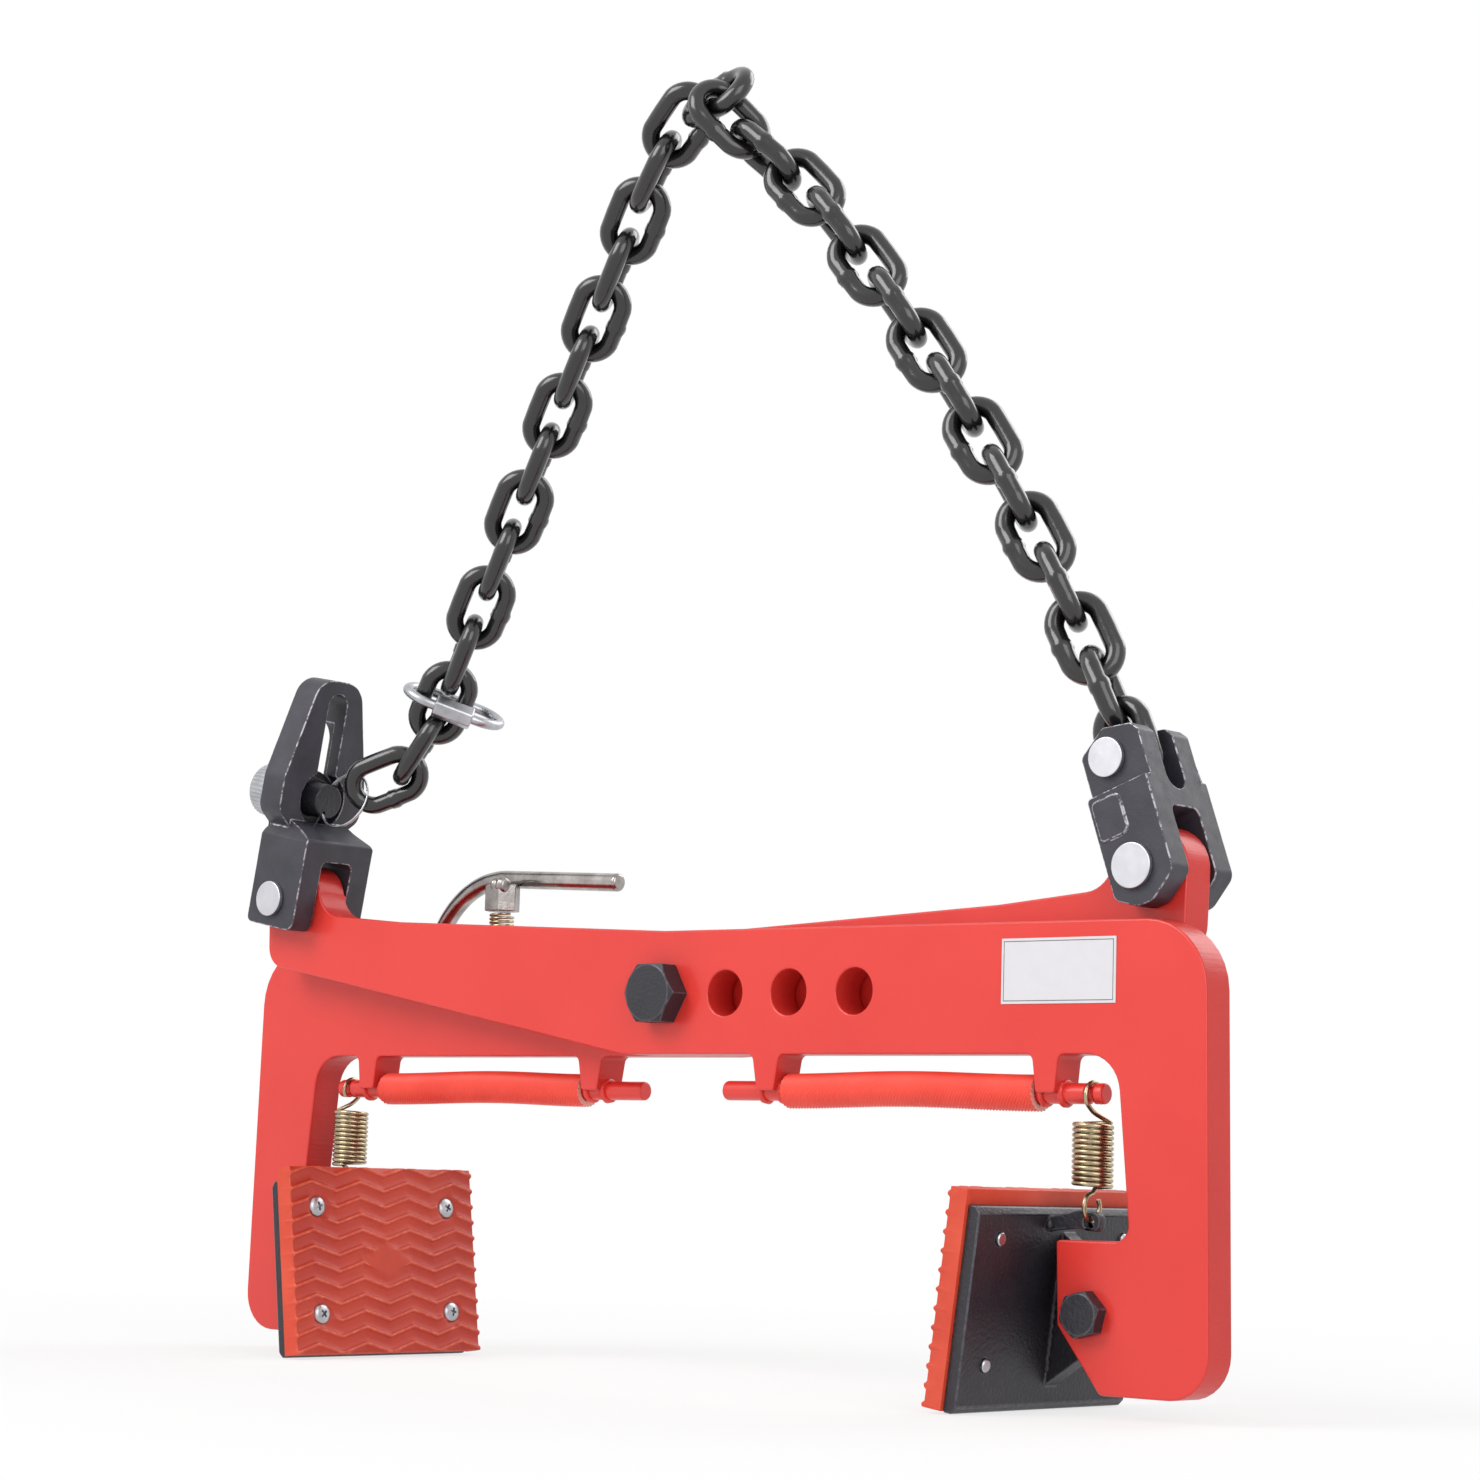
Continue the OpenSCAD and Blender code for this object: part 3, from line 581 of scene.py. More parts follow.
# %% [markdown]
# The legs of the chain are gentle arcs. Each starts at its fitting, and every link
# leans about 1.3 degrees more than the one below it. A leg has a start, a first
# direction, a sideways direction, and the bend from link to link. The links at the
# two ends of a leg lie as they fell, so each is given by its two ends and its turn.

# %% Both legs and the top link
PITCH, ARC_LINKS = 24.0, 11
LEGS = {
    "left": ((-167.9, 7.5, 125), (0.4792, -0.0157, 0.8776), (0.6274, -0.6931, -0.3549), 1.304),
    "right": ((210.25, 8.5, 104.9), (-0.439, -0.0309, 0.898), (0.8449, 0.3259, 0.4242), -1.366),
}


def leg_points(side):
    start, first, sideways, bend = LEGS[side]
    points = [Vector(start)]
    for i in range(ARC_LINKS):
        lean = math.radians(bend * i)
        way = Vector(first) * math.cos(lean) + Vector(sideways) * math.sin(lean)
        points.append(points[-1] + PITCH * way)
    return points


def chain_places():
    left, right = leg_points("left"), leg_points("right")
    way = (right[0] - from_bolt("coupling_link_pin")).normalized()
    turns = [50 + 90 * (i % 2) for i in range(ARC_LINKS)]
    right_turns = [102] + [24 + 90 * ((i + 1) % 2) for i in range(1, ARC_LINKS)]
    return {
        "left_chain_leg": [
            ((-199.55, -4.78, 96.82), (-180.55, 5.47, 105.26), 19.3),
            ((-181.38, 4.67, 106.18), (-167.88, 7.51, 125.05), 119),
            *zip(left, left[1:], turns),
            ((-24.11, -17.49, 344.18), (-7.93, -21.85, 361.38), 137.6),
            ((-8.58, -21.76, 361.94), (9.26, -23.38, 377.9), 43.1),
        ],
        "right_chain_leg": [
            (right[0] - way * (PITCH - 0.5), right[0], 0),
            *zip(right, right[1:], right_turns),
            ((69.06, -9.33, 326.58), (52.8, -13.07, 343.84), 21),
            ((51.87, -13.23, 342.79), (34.79, -19.33, 358.51), 113.9),
            ((36.14, -18.62, 358.35), (24.16, -31.52, 374.67), 22),
        ],
        "top_link": [((9.44, -20.86, 377.18), (33.04, -24.52, 379.46), 146)],
    }


def set_between(first, second, turn):
    """The place of a link that reaches from one point to another, in millimetres from the bolt."""
    a, b = Vector(first), Vector(second)
    along = (b - a).normalized()
    lean = math.degrees(math.acos(along.z))
    heading = math.degrees(math.atan2(along.y, along.x))
    return AXLE @ moved(*(a + b) / 2) @ turned("Z", heading) @ turned("Y", lean) @ turned("Z", turn)


for node, places in chain_places().items():
    for i, ends in enumerate(places):
        copy = place(copy_of(link, f"{node}_{i + 1:02d}"), set_between(*ends))
        finish(copy, node, smooth=50)
        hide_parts(node)
bpy.data.objects.remove(link)
print("links:", sum(len(places) for places in chain_places().values()))

# %% [markdown]
# ## Springs and rings
# A spring is one piece of wire, so it is drawn as one path: hook, coils, hook. A
# curve with a round section follows the path and is then turned into a mesh. The
# pad springs stretch as the pads tilt, but here each is only set in place, with no
# body to move with.

# %% Wire from a path
def bend_wire(name, path, thickness, matrix):
    """A round wire along points given in millimetres, set in its place."""
    curve = bpy.data.curves.new(name, "CURVE")
    curve.dimensions = "3D"
    curve.twist_mode = "MINIMUM"
    curve.bevel_depth = thickness / 2 * MM
    curve.bevel_resolution = 4
    curve.use_fill_caps = True
    line = curve.splines.new("POLY")
    line.points.add(len(path) - 1)
    for point, spot in zip(line.points, path):
        point.co = (spot[0] * MM, spot[1] * MM, spot[2] * MM, 1)
    wire = bpy.data.objects.new(name, curve)
    bpy.context.scene.collection.objects.link(wire)
    pick(wire)
    bpy.ops.object.convert(target="MESH")
    return place(bpy.context.object, matrix)


def smooth_line(knots, steps=8):
    """Points of a smooth line through the knots, worked out between each pair from its neighbours."""
    spots = [Vector(k) for k in knots]
    spots = [2 * spots[0] - spots[1]] + spots + [2 * spots[-1] - spots[-2]]
    points = []
    for a, b, c, d in zip(spots, spots[1:], spots[2:], spots[3:]):
        for i in range(steps):
            t = i / steps
            bend = (2 * a - 5 * b + 4 * c - d) * t * t + (3 * b - a - 3 * c + d) * t ** 3
            points.append(0.5 * (2 * b + (c - a) * t + bend))
    return points + [spots[-2]]


def hook(level, radius, side):
    """Knots of a hook: from its free end behind, over the far side, down the front and under."""
    knots = []
    for angle in (125, 90, 60, 30, 0, -30, -60, -90, -120, -150):
        a = math.radians(angle)
        knots.append((0, radius * math.sin(a), level + side * radius * math.cos(a)))
    return knots


print("a hook has", len(hook(0, 5, 1)), "knots")

# %% [markdown]
# The pad spring is wound close from 1.85 mm wire, twelve turns on a radius of 7 mm,
# with a ring bent up at each end. The levels are measured from the main bolt.

# %% Pad springs
SPRING_RADIUS, SPRING_TURNS, SPRING_WIRE, WIRE_PITCH = 7.0, 12, 1.85, 1.98
TOP_HOOK, TOP_COIL, LOW_HOOK, HOOK_RADIUS = -40.3, -50.2, -81.76, 5
STRETCH_FROM, STRETCH_TO, TURN_POINTS = -45, -76.8, 28


def pad_spring_path():
    wound = []
    for i in range(SPRING_TURNS * TURN_POINTS + 5):
        a = math.radians(60 + 360 * i / TURN_POINTS)
        level = TOP_COIL - WIRE_PITCH * i / TURN_POINTS
        wound.append((SPRING_RADIUS * math.cos(a), SPRING_RADIUS * math.sin(a), level))
    end = wound[-1][2]
    top_bend = [(0.2, 0.4, TOP_COIL + 3.6), (1.6, 3.6, TOP_COIL + 1.8)]
    low_bend = [(-1.6, 3.6, end - 1.1), (-0.2, 0.4, end - 2.3)]
    low_hook = list(reversed(hook(LOW_HOOK, HOOK_RADIUS, -1)))
    upper = smooth_line(hook(TOP_HOOK, HOOK_RADIUS, 1) + top_bend + wound[:2])[:-1]
    lower = smooth_line(wound[-2:] + low_bend + low_hook)
    return upper + wound[1:-2] + lower


groove = from_bolt("right_pad_spring")
for side, turn in SIDES.items():
    node = side + "_pad_spring"
    hung = turn @ AXLE @ moved(groove.x, groove.y, 0)
    spring = bend_wire(node + "_wound", pad_spring_path(), SPRING_WIRE, hung)
    top, low = (hung @ Vector((0, 0, level * MM)) for level in (STRETCH_FROM, STRETCH_TO))
    finish(spring, node, smooth=60, between=(side + "_pad", top, low))
    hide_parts(node)
print("pad springs have", len(pad_spring_path()), "points each")

# %% [markdown]
# The latch spring is a short open coil under the nut. On the clamp it shortens as
# the lever is pushed, but here it is only set in place. The split ring is a flat coil
# of not quite two turns, so it shows as a double line with a cut end.

# %% Latch spring and split ring
COIL_RADIUS, COIL_TURNS, COIL_FOOT, COIL_HEIGHT = 5.0, 7, 26.9, 11.5
RING_RADIUS, RING_TILT, RING_RISE = 13.4, -20, -10
PLUNGER_HEIGHT = 47.5


def latch_spring_path():
    path, points = [], COIL_TURNS * 24
    for i in range(points + 1):
        a = math.radians(360 * i / 24)
        level = COIL_FOOT + COIL_HEIGHT * i / points
        path.append((COIL_RADIUS * math.cos(a), COIL_RADIUS * math.sin(a), level))
    return path


def split_ring_path():
    """The wire steps over its own thickness half way round."""
    path, last = [], 110
    for i in range(last + 1):
        a = math.radians(20 + 680 * i / last)
        drift = 0.47 * math.tanh((i - last / 2) / 18)
        path.append((RING_RADIUS * (1 + math.cos(a)), drift, RING_RADIUS * math.sin(a)))
    return path


nut = from_bolt("latch_nut")
stud = AXLE @ moved(nut.x, nut.y, 0)
spring = bend_wire("latch_spring_wound", latch_spring_path(), 1.25, stud)
low, top = (stud @ Vector((0, 0, level * MM)) for level in (COIL_FOOT, COIL_FOOT + COIL_HEIGHT))
finish(spring, "latch_spring", smooth=60, between=("latch", low, top))
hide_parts("latch_spring")
ring_place = LOOP @ moved(0.9, 0, PLUNGER_HEIGHT) @ turned("X", RING_TILT) @ turned("Y", RING_RISE)
ring = bend_wire("split_ring_wound", split_ring_path(), 0.9, ring_place)
finish(ring, "split_ring", smooth=60)
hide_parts("split_ring")
print("latch spring:", len(latch_spring_path()), "points, ring:", len(split_ring_path()))

# %% [markdown]
# ## Locking plunger
# Its zinc knob behind the loop is knurled for a cold or greasy hand, and its nose
# in front is black. A cylinder gets a toothed rim by moving every third line of
# points outward, and it covers the plain knob of the CAD part.

# %% Locking plunger
NOSE_FROM, KNOB_MIDDLE, KNURL_DEGREES = -8.5, -30.5, 3


def knurled_knob():
    lines = 360 // KNURL_DEGREES
    sizes = {"vertices": lines, "radius": 12 * MM, "depth": 14.6 * MM, "end_fill_type": "NGON"}
    knob = begin(bpy.ops.mesh.primitive_cylinder_add, **sizes)
    bpy.ops.object.mode_set(mode="EDIT")
    select_where(knob, lambda p: round(math.degrees(math.atan2(p.y, p.x)) / KNURL_DEGREES) % 3 == 0)
    bpy.ops.transform.resize(value=(1.035, 1.035, 1))
    leave()
    rim = {"limit_method": "ANGLE", "angle_limit": math.radians(60)}
    apply(knob, "BEVEL", width=0.35 * MM, segments=2, **rim)
    print("knurl ridges:", lines // 3)
    return knob


plunger = soften("locking_plunger", 0.5)
plunger.data.materials.append(powder)
along_plunger = LOOP.inverted()
for face in plunger.data.polygons:
    if (along_plunger @ face.center).x > NOSE_FROM * MM:
        face.material_index = len(plunger.data.materials) - 1
knob = place(knurled_knob(), LOOP @ moved(KNOB_MIDDLE, 0, PLUNGER_HEIGHT) @ turned("Y", 90))
finish(knob, "locking_plunger", "plunger_knurl", smooth=20)

# %% [markdown]
# ## Handle sleeves
# The sleeve is ribbed hose, pushed over the bar. Its ribs wind round it like a
# steep thread. A circle with raised points is extruded in four small turned steps,
# until each rib has moved on by exactly one place. That slice then repeats along the
# hose with an array. The hose is bowed a millimetre or two between its ends, because
# it was coiled before it was cut, and its cut ends are paler.

# %% Ribbed sleeves
HOSE_LENGTH, HOSE_RADIUS, HOSE_RIBS, HOSE_SLICES, HOSE_BOW = 124.5, 6.75, 20, 83, 1.4
RIB_SWELL, BORE_SHARE, BORE_DEPTH = 1.05, 0.66, 6
SLEEVE_FROM, RIB_POINTS = 64.2, 4


def ribbed_slice():
    """One slice of hose, along which each rib moves on by one place."""
    points = HOSE_RIBS * RIB_POINTS
    tube = begin(bpy.ops.mesh.primitive_circle_add, vertices=points, radius=HOSE_RADIUS * MM)
    edit(tube)
    bpy.ops.mesh.select_all(action="DESELECT")
    leave()
    for vertex in tube.data.vertices:
        vertex.select = vertex.index % RIB_POINTS in (0, 1)
    bpy.ops.object.mode_set(mode="EDIT")
    bpy.ops.transform.resize(value=(RIB_SWELL, RIB_SWELL, 1))
    bpy.ops.mesh.select_all(action="SELECT")
    for step in range(RIB_POINTS):
        pull(0, 0, HOSE_LENGTH / HOSE_SLICES / RIB_POINTS)
        one_point = 2 * math.pi / points
        bpy.ops.transform.rotate(value=one_point, orient_axis="Z", center_override=(0, 0, 0))
    leave()
    return tube


def ribbed_sleeve():
    tube = ribbed_slice()
    apply(
        tube, "ARRAY", count=HOSE_SLICES, use_relative_offset=False, use_constant_offset=True,
        constant_offset_displace=(0, 0, HOSE_LENGTH / HOSE_SLICES * MM),
        use_merge_vertices=True, merge_threshold=0.02 * MM,
    )
    for end, inward in ((0, BORE_DEPTH), (HOSE_LENGTH, -BORE_DEPTH)):
        edit(tube)
        select_where(tube, lambda p: abs(p.z - end * MM) < 0.05 * MM)
        bpy.ops.mesh.select_mode(type="EDGE")
        pull(0, 0, 0)
        bpy.ops.transform.resize(value=(BORE_SHARE, BORE_SHARE, 1), center_override=(0, 0, 0))
        pull(0, 0, inward)
        leave()
    edit(tube)
    bpy.ops.mesh.normals_make_consistent(inside=False)
    leave()
    side = tube.data.polygons[0]
    if side.normal.dot(Vector((side.center.x, side.center.y, 0))) < 0:
        edit(tube)
        bpy.ops.mesh.flip_normals()
        leave()
    tube.data.materials.append(hose)
    tube.data.materials.append(hose_end)
    for face in tube.data.polygons:
        face.material_index = 1 if abs(face.normal.z) > 0.8 else 0
    for vertex in tube.data.vertices:
        t = vertex.co.z / (HOSE_LENGTH * MM)
        vertex.co.x -= HOSE_BOW * MM * math.sin(math.pi * t) ** 2 * (1 - 0.35 * t)
    return tube


rod = from_bolt("front_handle_rod")
sleeve = ribbed_sleeve()
for arm, turn in ARMS.items():
    node = arm + "_handle_sleeve"
    along_rod = turn @ AXLE @ moved(SLEEVE_FROM, rod.y, rod.z) @ turned("Y", 90)
    copy = place(copy_of(sleeve, node + "_ribbed"), along_rod)
    finish(copy, node, smooth=60)
    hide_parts(node)
print("sleeve faces:", len(sleeve.data.polygons), "across:", round(sleeve.dimensions.y / MM, 1), "mm")
bpy.data.objects.remove(sleeve)

# %% [markdown]
# ## Rubber pads
# A pad is moulded with zigzag ribs that bite on stone. A fine grid is bent so that
# its rows follow the zigzag, which keeps the ribs crisp along their slant, and each
# row gets its height from the rib's rounded profile. The ribs die out round the
# screws and into a flat diamond. Then the sheet is cut to size with bisect, and its
# border is extruded back to make the slab.

# %% Shape of the ribs
FACE_X, BACK_X, HALF_WIDTH, HALF_HEIGHT, LIP = -40.5, -32.5, 55.5, 41.0, 0.4
SCREW_Y, SCREW_Z, RIM_DEPTH, SLAB_DEPTH = 39.5, 23.5, 0.45, 7.4
RIB_STEP, RIB_RISE, TOOTH, TOOTH_COLUMNS, TEETH, PERIODS = 7.1, 4.2, 14.5, 12, 4, 14
RIB_ROWS = (
    (0.3, 0.0), (0.85, 0.45), (1.25, 1.12), (1.8, 1.3),
    (2.35, 1.12), (2.75, 0.45), (3.3, 0.0), (5.3, 0.0),
)


def ease(t):
    t = min(max(t, 0.0), 1.0)
    return t * t * (3 - 2 * t)


def pad_height(y, z, rib):
    """Height of the face above its ground at a point, in millimetres."""
    diamond = ease(6 * (1 - abs(y) / 17 - abs(z) / 9.5))
    rib = rib * (1 - diamond) + 1.0 * diamond
    reach = math.hypot(abs(y) - SCREW_Y, abs(z) - SCREW_Z)
    return rib * ease((reach - 5.8) / 1.0) - 0.9 * (1 - ease((reach - 4.7) / 0.6))


print("a rib is", max(rib for _, rib in RIB_ROWS), "mm high, and the diamond", pad_height(0, 0, 0))

# %% [markdown]
# The grid's rows come in groups of eight, one group for each rib. Only the middle of
# the sheet survives the cut, so the zigzag runs on to the edge as on the real pad.

# %% Ribbed pads
def ribbed_sheet():
    half = TOOTH_COLUMNS * TEETH
    columns, rows = 2 * half + 1, PERIODS * len(RIB_ROWS)
    grid = {"x_subdivisions": columns - 1, "y_subdivisions": rows - 1, "size": 1}
    sheet = begin(bpy.ops.mesh.primitive_grid_add, **grid)
    for index, vertex in enumerate(sheet.data.vertices):
        row, column = divmod(index, columns)
        y = (column - half) * TOOTH / TOOTH_COLUMNS
        tooth = abs(y) / TOOTH % 2
        offset, rib = RIB_ROWS[row % len(RIB_ROWS)]
        z = (row // len(RIB_ROWS) - PERIODS // 2) * RIB_STEP + offset + RIB_RISE * min(tooth, 2 - tooth)
        vertex.co = Vector((FACE_X - pad_height(y, z, rib), y, z)) * MM
    return sheet


def ribbed_pad():
    pad = ribbed_sheet()
    inner_width, inner_height = HALF_WIDTH - LIP, HALF_HEIGHT - LIP
    edit(pad)
    for side in (Vector((0, 1, 0)), Vector((0, -1, 0)), Vector((0, 0, 1)), Vector((0, 0, -1))):
        half = inner_width if side.y else inner_height
        bpy.ops.mesh.select_all(action="SELECT")
        bpy.ops.mesh.bisect(plane_co=side * half * MM, plane_no=side, clear_outer=True)
    bpy.ops.mesh.select_all(action="DESELECT")
    bpy.ops.mesh.select_mode(type="EDGE")
    others = ("extend", "use_wire", "use_multi_face", "use_non_contiguous", "use_verts")
    bpy.ops.mesh.select_non_manifold(use_boundary=True, **dict.fromkeys(others, False))
    pull(RIM_DEPTH, 0, 0)
    outward = (1, HALF_WIDTH / inner_width, HALF_HEIGHT / inner_height)
    bpy.ops.transform.resize(value=outward, center_override=(0, 0, 0))
    pull(SLAB_DEPTH, 0, 0)
    bpy.ops.transform.resize(value=(0, 1, 1), center_override=(BACK_X * MM, 0, 0))
    bpy.ops.mesh.edge_face_add()
    bpy.ops.mesh.select_all(action="SELECT")
    bpy.ops.mesh.normals_make_consistent(inside=False)
    leave()
    for rubber in (pad_rubber, rubbed_and_highlit_ribs, cut_side):
        pad.data.materials.append(rubber)
    # Sides get the cut rubber, and rib tops and the rim the lighter rubber, which is partly rubbed and
    # partly painted highlight.
    for face in pad.data.polygons:
        rim = abs(face.center.y) > inner_width * MM or abs(face.center.z) > inner_height * MM
        if face.normal.x > -0.3:
            face.material_index = 2
        elif face.center.x < (FACE_X - 1.05) * MM or rim:
            face.material_index = 1
    return pad


pad = ribbed_pad()
for side, turn in SIDES.items():
    node = side + "_pad_rubber"
    copy = place(copy_of(pad, node + "_moulded"), turn @ PAD)
    finish(copy, node, smooth=50)
    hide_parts(node)
print("one pad:", len(pad.data.polygons), "faces")
bpy.data.objects.remove(pad)

# %% [markdown]
# ## Pad screws
# The rubber is held by four cross-head screws in each pad. One screw is drawn as a
# line of points, each extruded from the last, and turned with spin. Its cross is cut
# with two tapered bars, and it is copied to the eight holes, each turned differently.

# %% Cross-head screws
SCREW_OUTLINE = (
    (0, 0.3), (1.6, 0.36), (3.1, 0.62), (4.1, 1.15), (4.65, 1.9), (4.7, 2.9), (2.5, 2.9), (2.5, 15.8),
    (2.1, 16.2), (0, 16.2),
)
HEAD_X, SCREW_TURNS = -41.8, (12, 31, 50, 78)
CROSS_LONG, CROSS_WIDE, CROSS_DEEP = 4.6 * MM, 1.25 * MM, 2.4 * MM


def cross_bar(length, width):
    """One bar of the cross, narrower at the bottom of the recess."""
    size = {"size": 1, "location": (0, 0, 0.6 * MM), "scale": (length, width, CROSS_DEEP)}
    bar = begin(bpy.ops.mesh.primitive_cube_add, **size)
    bpy.ops.object.transform_apply(location=True, rotation=True, scale=True)
    bpy.ops.object.mode_set(mode="EDIT")
    select_where(bar, lambda p: p.z > 1 * MM)
    bpy.ops.transform.resize(value=(0.6, 0.6, 1), center_override=(0, 0, 0))
    leave()
    return bar


def cross_head_screw():
    screw = begin(bpy.ops.mesh.primitive_plane_add, size=MM)
    edit(screw)
    bpy.ops.mesh.merge(type="CENTER")
    bpy.ops.transform.translate(value=(0, 0, SCREW_OUTLINE[0][1] * MM))
    for (radius, level), (next_radius, next_level) in zip(SCREW_OUTLINE, SCREW_OUTLINE[1:]):
        step = ((next_radius - radius) * MM, 0, (next_level - level) * MM)
        bpy.ops.mesh.extrude_vertices_move(TRANSFORM_OT_translate={"value": step})
    bpy.ops.mesh.select_all(action="SELECT")
    bpy.ops.mesh.spin(steps=36, angle=2 * math.pi, center=(0, 0, 0), axis=(0, 0, 1))
    bpy.ops.mesh.select_all(action="SELECT")
    bpy.ops.mesh.remove_doubles(threshold=0.002 * MM)
    bpy.ops.mesh.normals_make_consistent(inside=False)
    leave()
    for bar in (cross_bar(CROSS_LONG, CROSS_WIDE), cross_bar(CROSS_WIDE, CROSS_LONG)):
        apply(screw, "BOOLEAN", operation="DIFFERENCE", object=bar)
        bpy.data.objects.remove(bar)
    return screw


screw = cross_head_screw()
corners = [(y, z) for y in (-SCREW_Y, SCREW_Y) for z in (-SCREW_Z, SCREW_Z)]
for side, turn in SIDES.items():
    node = side + "_pad_screws"
    for i, ((y, z), spin) in enumerate(zip(corners, SCREW_TURNS)):
        hole = turn @ PAD @ moved(HEAD_X, y, z) @ turned("Y", 90) @ turned("Z", spin)
        copy = place(copy_of(screw, f"{node}_{i + 1}"), hole)
        finish(copy, node, smooth=40)
        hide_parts(node)
print("screw faces:", len(screw.data.polygons))
bpy.data.objects.remove(screw)

# %% [markdown]
# ## Welds
# The handle bars are tacked to both faces of the two tabs of each arm. A weld bead
# is a lumpy fillet: a ring with its points nudged at random, smoothed by
# subdivision. The seed is fixed, so it is the same on every run.

# %% Weld beads
TAB_FACES = (51.9, 61.5, 191.2, 200.5)
BEAD_RADIUS, BEAD_THICKNESS = 4.3, 1.35


def weld_bead(seed):
    bead = begin(
        bpy.ops.mesh.primitive_torus_add, major_radius=BEAD_RADIUS * MM,
        minor_radius=BEAD_THICKNESS * MM, major_segments=26, minor_segments=8,
        rotation=(0, math.pi / 2, 0),
    )
    bpy.ops.object.transform_apply(rotation=True)
    bpy.ops.object.mode_set(mode="EDIT")
    bpy.ops.transform.vertex_random(offset=BEAD_THICKNESS * 0.34 * MM, uniform=0.2, seed=seed)
    leave()
    apply(bead, "SUBSURF", levels=1, render_levels=1)
    return bead


for arm, turn in ARMS.items():
    for i, x in enumerate(TAB_FACES):
        bead = place(weld_bead(3 + i), turn @ AXLE @ moved(x, rod.y, rod.z))
        finish(bead, arm + "_handle_rod", f"{arm}_handle_rod_weld_{i + 1}", smooth=70)
print("weld beads:", len(ARMS) * len(TAB_FACES))

# %% [markdown]
# Two more kinds of weld show. The hinge plate of each pad is joined to the pad's back
# plate by rippled seams, and the latch nut sits under a bright lump of weld on the
# lever. A seam is a disc extruded step by step, swelling and shrinking like the
# ripples that the welder's hand leaves.

# %% Weld seams
RIPPLE, END_SHARE = 1.1, 0.5


def weld_seam(length, radius, seed):
    thin = radius * END_SHARE * MM
    seam = begin(bpy.ops.mesh.primitive_circle_add, vertices=10, radius=thin, fill_type="NGON")
    edit(seam)
    steps = max(4, round(length / RIPPLE))
    size = END_SHARE
    for i in range(steps):
        swell = END_SHARE if i == steps - 1 else 1 + 0.16 * math.sin(i * 2.1)
        level = (i + 1) * length / steps * MM
        pull(0, 0, length / steps)
        bpy.ops.transform.resize(value=(swell / size, swell / size, 1), center_override=(0, 0, level))
        size = swell
    bpy.ops.mesh.select_all(action="SELECT")
    bpy.ops.transform.vertex_random(offset=radius * 0.22 * MM, uniform=0.3, seed=seed)
    bpy.ops.mesh.normals_make_consistent(inside=False)
    leave()
    apply(seam, "SUBSURF", levels=1, render_levels=1)
    return seam


print("a seam of 50 mm has", round(50 / RIPPLE), "ripples")

# %% [markdown]
# Each seam on a pad starts at a place on it, in millimetres from its bolt, and has a
# length and a radius: two along the hinge plate, two short ones beside the spring's
# ear, and one that slants under the ear.

# %% Seams on the pads and the lump on the latch
PAD_SEAMS = (
    (moved(-26.4, -0.6, -27), 50, 1.5),
    (moved(-26.4, 8.2, -27), 50, 1.5),
    (moved(-25.6, -10.9, 27.4), 4, 1.7),
    (moved(-25.4, -6.1, 27.4), 4.4, 1.7),
    (moved(-16.5, -6.2, 30.2) @ turned("Y", 60), 8, 1.3),
)
for side, turn in SIDES.items():
    for i, (spot, length, radius) in enumerate(PAD_SEAMS):
        seam = place(weld_seam(length, radius, 11 + i), turn @ PAD @ spot)
        seam.data.materials.append(powder)
        finish(seam, side + "_pad_carrier", f"{side}_pad_seam_{i + 1}", smooth=70)
nut_low, nut_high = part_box("latch_nut")
nut_rim = Vector((nut_low.x, nut_low.y, nut_high.z)) / MM
lump = place(weld_seam(8.5, 3.8, 5), moved(*nut_rim + Vector((6.5, 3.2, -0.6))) @ turned("Y", 90))
lump.data.materials.append(weld_grey)
finish(lump, "latch_lever", "latch_weld", smooth=70)
print("seams:", len(SIDES) * len(PAD_SEAMS) + 1)

# %% [markdown]
# ## Label border
# The white film stays empty. Only its thin printed border is drawn, as a narrow
# frame that lies on the film.

# %% Label border
BORDER_MARGIN, BORDER_LINE, INK_DEPTH = 1.0, 0.35, 0.03


def label_border():
    low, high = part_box("label_plate")
    middle = (low + high) / 2
    before_film = (middle.x, low.y - 0.02 * MM, middle.z)
    upright = (math.pi / 2, 0, 0)
    border = begin(bpy.ops.mesh.primitive_plane_add, size=1, location=before_film, rotation=upright)
    margins = 2 * BORDER_MARGIN * MM
    border.scale = (high.x - low.x - margins, high.z - low.z - margins, 1)
    bpy.ops.object.transform_apply(location=True, rotation=True, scale=True)
    edit(border)
    bpy.ops.mesh.inset(thickness=BORDER_LINE * MM)
    bpy.ops.mesh.delete(type="FACE")
    leave()
    apply(border, "SOLIDIFY", thickness=INK_DEPTH * MM)
    border.data.materials.append(ink)
    return border


finish(label_border(), "label_plate", "label_border")

# %% [markdown]
# ## Floor and light
# The floor and the room are white to the camera and in reflections. To every other
# ray the room is a soft light of half that strength, so the background can be pure
# white and the paint still keeps its colour. Three large lamps give the shapes their
# shading. The floor near the clamp stays partly a real surface, so that the feet
# throw a soft shadow.

# %% White to the camera and in reflections
def seen_directly(tree):
    """1 for rays of the camera, of mirror reflections and through glass, and 0 for the rest."""
    path = add_node(tree, "ShaderNodeLightPath").outputs
    camera_or_gloss = {0: path["Is Camera Ray"], 1: path["Is Glossy Ray"]}
    seen = add_node(tree, "ShaderNodeMath", camera_or_gloss, operation="MAXIMUM")
    glass_too = {0: seen.outputs[0], 1: path["Is Transmission Ray"]}
    return add_node(tree, "ShaderNodeMath", glass_too, operation="MAXIMUM").outputs[0]


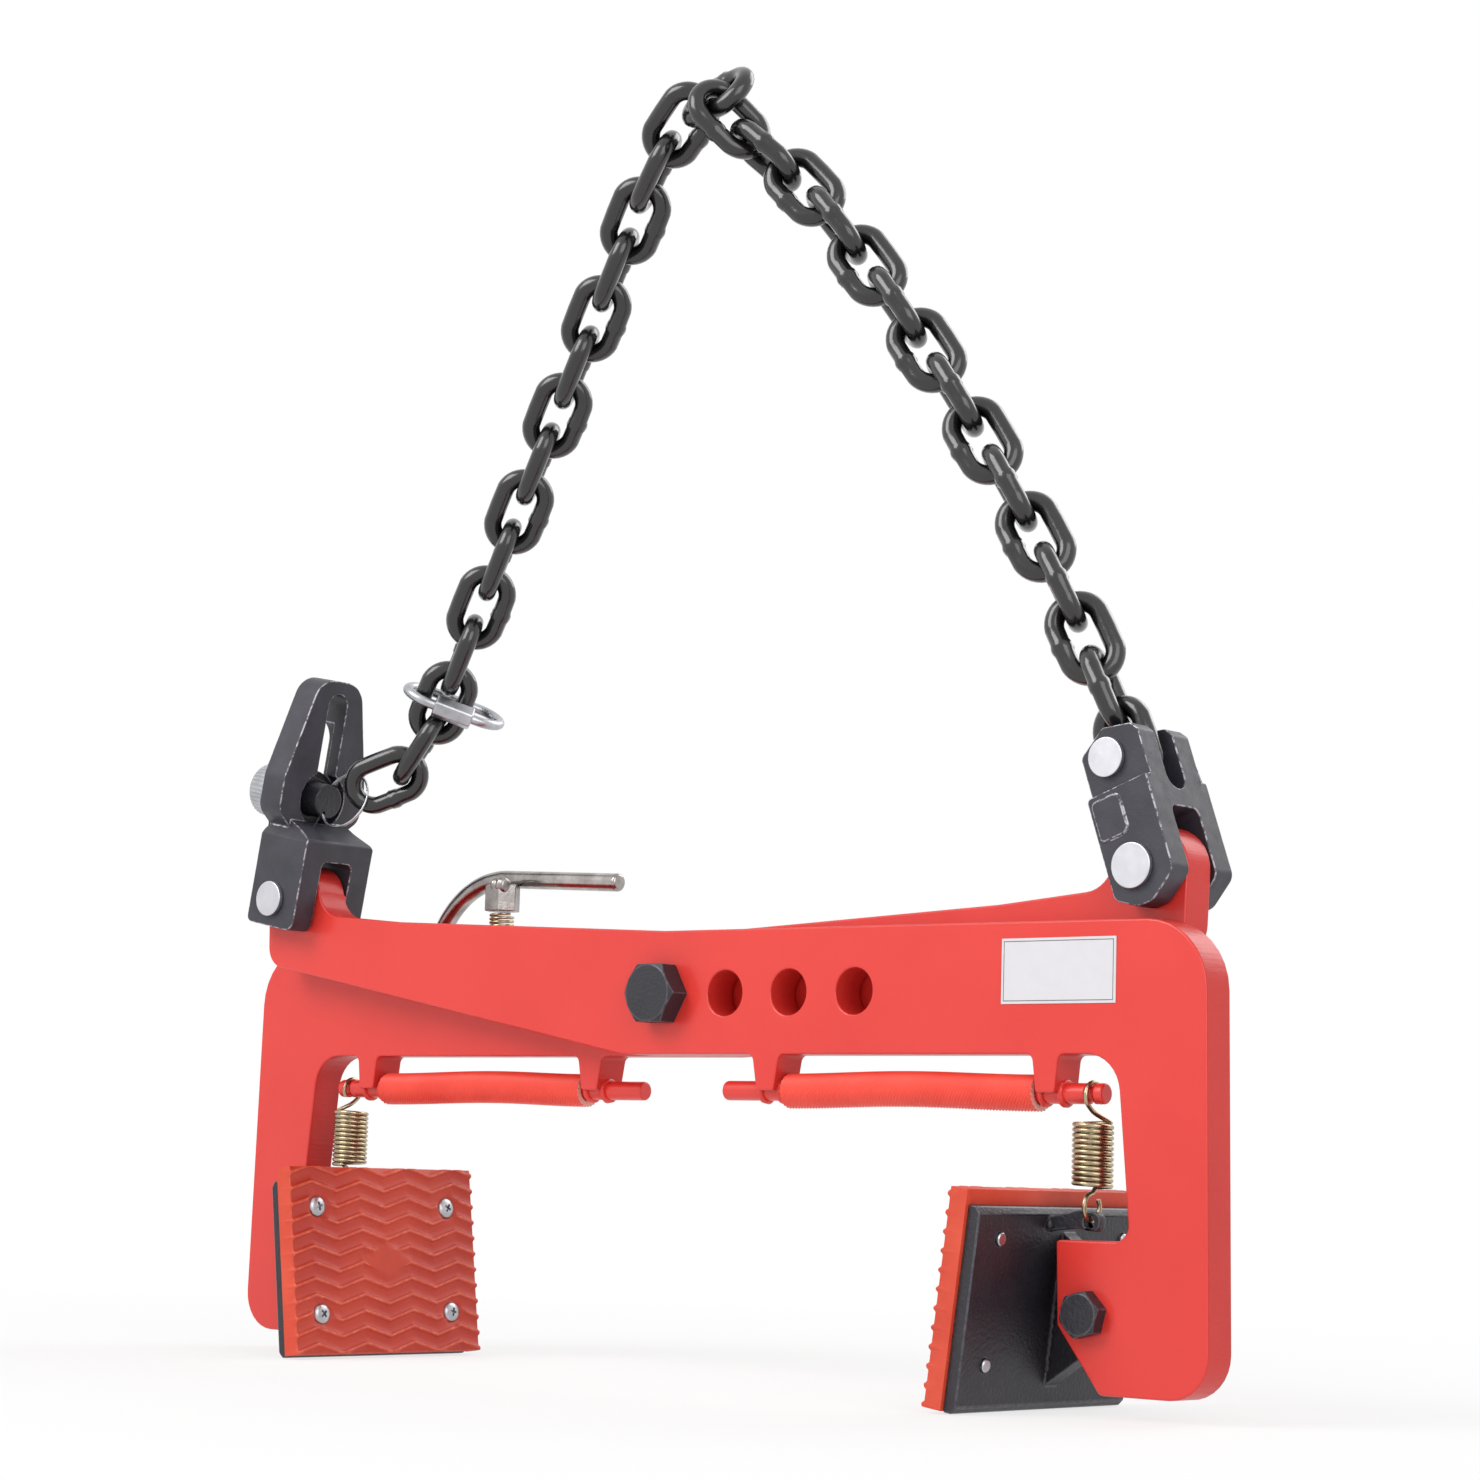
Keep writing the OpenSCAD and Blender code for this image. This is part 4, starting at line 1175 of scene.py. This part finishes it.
def white_floor():
    paint = {"Base_Color": srgb("#F4F4F4"), "Roughness": 0.85}
    material, tree, shader = new_material("white_floor", **paint)
    spot = add_node(tree, "ShaderNodeTexCoord").outputs["Object"]
    far = add_node(tree, "ShaderNodeVectorMath", {0: spot}, operation="LENGTH").outputs["Value"]
    edge = {"Value": far, "From Min": 0.25, "From Max": 0.9, "To Min": 0.72, "To Max": 1.0}
    fade = add_node(tree, "ShaderNodeMapRange", edge).outputs["Result"]
    share = add_node(tree, "ShaderNodeMath", {0: seen_directly(tree), 1: fade}, operation="MULTIPLY")
    glow = add_node(tree, "ShaderNodeEmission", {"Color": (1, 1, 1, 1), "Strength": 1.0})
    layers = {0: share.outputs[0], 1: shader.outputs[0], 2: glow.outputs[0]}
    mix = add_node(tree, "ShaderNodeMixShader", layers)
    tree.links.new(mix.outputs[0], tree.nodes["Material Output"].inputs["Surface"])
    return material


def white_room():
    world = bpy.data.worlds.new("white_room")
    world.use_nodes = True
    tree = world.node_tree
    sky = tree.nodes["Background"]
    sky.inputs["Color"].default_value = (1, 1, 1, 1)
    brightness = add_node(tree, "ShaderNodeMapRange", {"Value": seen_directly(tree), "To Min": 0.5})
    tree.links.new(brightness.outputs["Result"], sky.inputs["Strength"])
    return world


floor = begin(bpy.ops.mesh.primitive_plane_add, size=14, location=(0, 0, 0))
floor.name = "floor"
floor.data.materials.append(white_floor())
bpy.context.scene.world = white_room()
print("floor:", [round(v) for v in floor.dimensions], "m")

# %% [markdown]
# Each lamp is a large soft square that looks at the middle of the clamp: a key from
# the front left, a weaker fill from the right, and one behind for the rims.

# %% Lamps
LAMPS = {
    "key": ((-0.6, -1.6, 1.5), 1.2, 24),
    "fill": ((1.8, -0.9, 0.9), 1.4, 13),
    "back": ((0.4, 1.5, 1.4), 1.2, 12),
}
LAMP_TARGET = Vector((0, 0, 0.25))
for name, (stand, size, power) in LAMPS.items():
    bpy.ops.object.light_add(type="AREA", location=stand)
    lamp = bpy.context.object
    lamp.name = name
    lamp.data.energy = power
    lamp.data.size = size
    lamp.rotation_euler = (LAMP_TARGET - Vector(stand)).to_track_quat("-Z", "Y").to_euler()
bpy.context.scene.view_settings.view_transform = "Standard"
print("lamps:", list(LAMPS))
